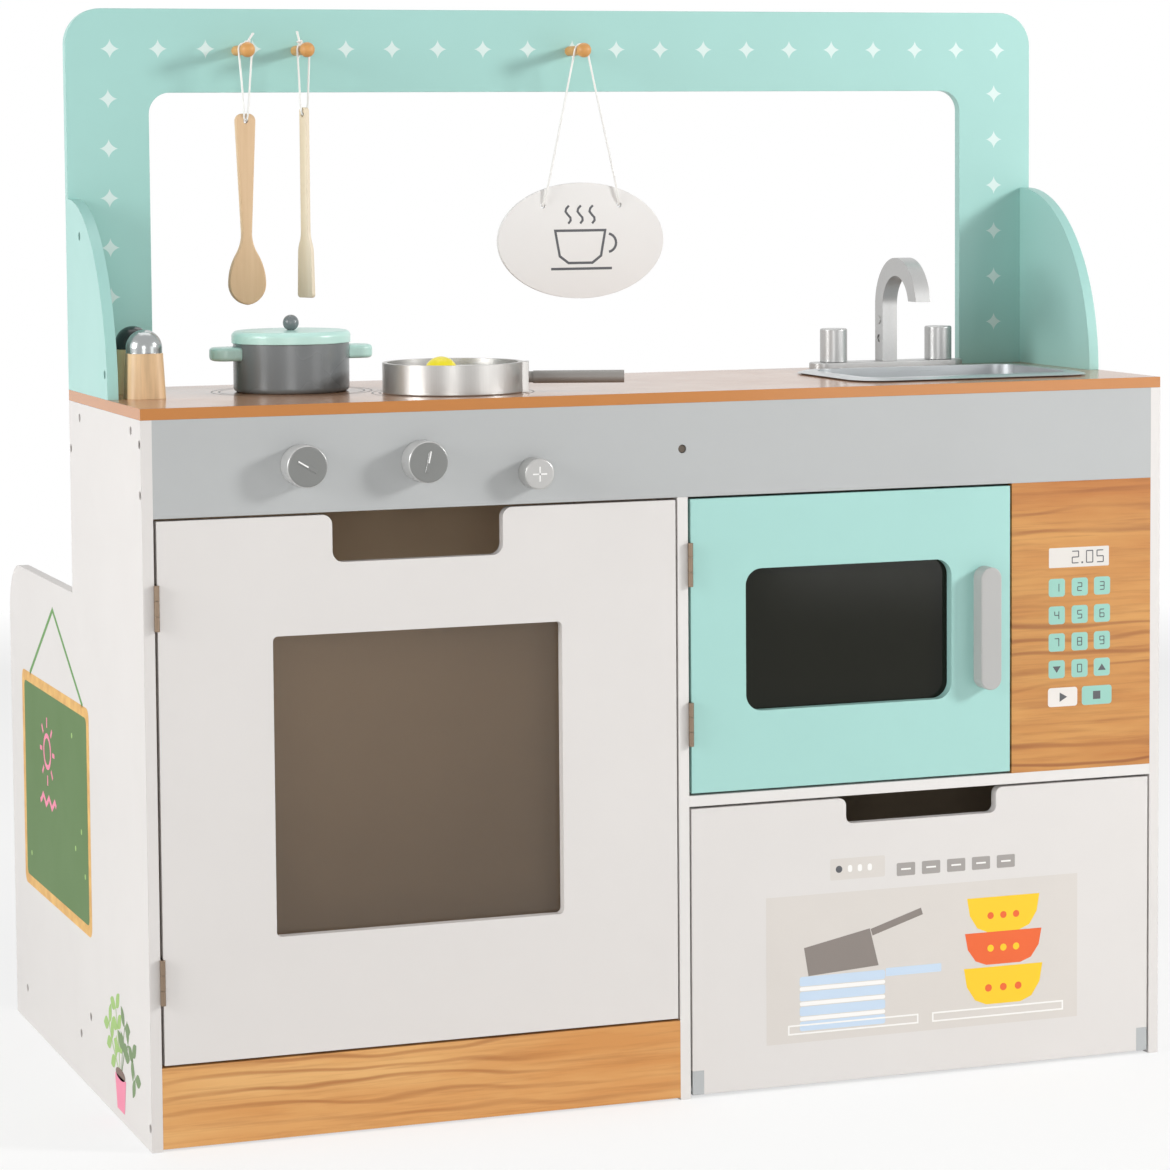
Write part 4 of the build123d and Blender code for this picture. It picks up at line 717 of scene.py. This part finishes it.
RING_STEPS = 60
RING_RADII = (66.0, 60.0)
POINTER_START = -0.5
POINTER_END = 9.0
CROSS_REACH = 6.0


# The sign's cup, the rings under pot and pan, and the marks on the knobs
def print_small_things():
    cup = stroke([(-24, 712), (-20, 690), (-12, 684), (10, 684), (18, 690), (22, 712), (-24, 712)], 2.2)
    cup += stroke(arc(24, 701, 8, -80, 80, 10), 2.2) + stroke([(-28, 679), (28, 679)], 2.2)
    for u in (-12, -1, 10):
        cup += stroke([(u + 2.5 * math.sin(k * 1.1), 718 + 2.6 * k) for k in range(7)], 2.0)
    add = printer("hanging_sign", on_front(SIGN_Y))
    add("sign_cup", mark_dark, 1, cup)
    for name in ("pot", "pan"):
        low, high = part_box(name + "_body")
        reach = (high[1] - low[1]) / 2
        u, v = (low[0] + reach) / MM, (low[1] + reach) / MM
        lines = [piece for r in RING_RADII for piece in stroke(arc(u, v, r, 0, 360, RING_STEPS), 1.6)]
        add = printer("cabinet", on_top)
        add(name + "_hob_ring", hob_dark, 1, lines)
    for name, turn in (("left", 149.0), ("middle", 78.0)):
        u, v, face = knob_face_middle(name + "_knob")
        pointer = stroke([around(u, v, r, turn) for r in (POINTER_START, POINTER_END)], 1.1)
        add = printer(name + "_knob_body", face)
        add(name + "_knob_line", pointer_white, 1, pointer)
    u, v, face = knob_face_middle("small_knob")
    cross = stroke([(u - CROSS_REACH, v), (u + CROSS_REACH, v)], 1.1)
    cross += stroke([(u, v - CROSS_REACH), (u, v + CROSS_REACH)], 1.1)
    add = printer("small_knob_body", face)
    add("small_knob_cross", pointer_white, 1, cross)


def knob_face_middle(node):
    low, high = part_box(node)
    return (low[0] + high[0]) / 2 / MM, (low[2] + high[2]) / 2 / MM, on_front(low[1])


# The share of rays that see the white background: from the camera, off gloss, or through glass
def background_rays(tree):
    paths = add_node(tree, "ShaderNodeLightPath")
    seen = add_node(tree, "ShaderNodeMath", {0: paths.outputs["Is Camera Ray"], 1: paths.outputs["Is Glossy Ray"]},
                    operation="MAXIMUM")
    either = add_node(tree, "ShaderNodeMath", {0: seen.outputs[0], 1: paths.outputs["Is Transmission Ray"]},
                      operation="MAXIMUM")
    return either.outputs[0]


# The floor fades into the white background between these distances from the middle, in metres. Nearer, it
# glows a little, and the rest of its colour keeps the shadow.
FADE_START = 1.1
FADE_END = 3.2
FLOOR_GLOW = 0.66
FLOOR_SIZE = 12.0
WHITE = (1.0, 1.0, 1.0, 1.0)


# Painted paper backdrop: matt, so that it shows the shadow without a mirror image
def floor_material():
    material, tree, shader = new_material("pale_studio_floor")
    shader.inputs["Base Color"].default_value = linear("F4F4F3")
    shader.inputs["Roughness"].default_value = 0.8
    coords = add_node(tree, "ShaderNodeTexCoord")
    reach = add_node(tree, "ShaderNodeVectorMath", {0: coords.outputs["Object"]}, operation="LENGTH")
    far = add_node(tree, "ShaderNodeMapRange", {"Value": reach.outputs["Value"], "From Min": FADE_START,
                                                "From Max": FADE_END})
    fade = add_node(tree, "ShaderNodeMath", {0: far.outputs["Result"], 1: FLOOR_GLOW}, operation="MAXIMUM")
    visible = add_node(tree, "ShaderNodeMath", {0: fade.outputs[0], 1: background_rays(tree)},
                       operation="MULTIPLY")
    glow = add_node(tree, "ShaderNodeEmission", {"Color": WHITE, "Strength": 1.0})
    mix = add_node(tree, "ShaderNodeMixShader", {0: visible.outputs[0], 1: shader.outputs[0], 2: glow.outputs[0]})
    tree.links.new(mix.outputs[0], tree.nodes["Material Output"].inputs["Surface"])
    return material


def add_floor():
    mesh = bpy.data.meshes.new("floor")
    corners = [(x * FLOOR_SIZE, y * FLOOR_SIZE, 0) for x, y in ((-1, -1), (1, -1), (1, 1), (-1, 1))]
    mesh.from_pydata(corners, [], [(0, 1, 2, 3)])
    mesh.materials.append(floor_material())
    floor = bpy.data.objects.new("floor", mesh)
    bpy.context.scene.collection.objects.link(floor)


def add_light(name, place, target, size, power):
    data = bpy.data.lights.new(name, "AREA")
    data.shape = "SQUARE"
    data.size = size
    data.energy = power
    light = bpy.data.objects.new(name, data)
    way = Vector(target) - Vector(place)
    light.matrix_world = Matrix.Translation(place) @ way.to_track_quat("-Z", "Y").to_matrix().to_4x4()
    bpy.context.scene.collection.objects.link(light)


# The middle of the kitchen, which most lights face
MIDDLE = (0.0, 0.0, 0.45)

# Each light's name, place, target, size in metres and power in watts
LIGHTS = (("left_softbox", (-3.8, -0.8, 1.5), MIDDLE, 1.6, 90.0),
          ("right_softbox", (2.8, -2.0, 1.65), MIDDLE, 0.6, 78.0),
          ("front_softbox", (-1.3, -3.6, 0.9), MIDDLE, 1.0, 16.0),
          ("right_reflector", (2.0, -3.1, 0.6), (0.2, 0.0, 0.6), 1.3, 9.0),
          ("ceiling_softbox", (0.0, 0.9, 2.8), MIDDLE, 2.0, 16.0))
WORLD_STRENGTH = 0.3


# The world is white where it is seen, and dimmer as light on the object
def light_studio():
    world = bpy.data.worlds.new("studio")
    world.use_nodes = True
    tree = world.node_tree
    power = add_node(tree, "ShaderNodeMapRange", {"Value": background_rays(tree), "To Min": WORLD_STRENGTH})
    background = tree.nodes["Background"]
    background.inputs["Color"].default_value = WHITE
    tree.links.new(power.outputs["Result"], background.inputs["Strength"])
    bpy.context.scene.world = world
    for light in LIGHTS:
        add_light(*light)


paint_nodes()
for string_name, (string_body, string_length, string_points) in STRINGS.items():
    add_string(string_name, string_body, string_points)
for knot in KNOTS:
    add_knot(*knot)
print_arch()
print_keypad()
print_dishwasher()
print_left_side()
print_small_things()
add_floor()
add_camera()
light_studio()
bpy.context.scene.view_settings.view_transform = "Standard"
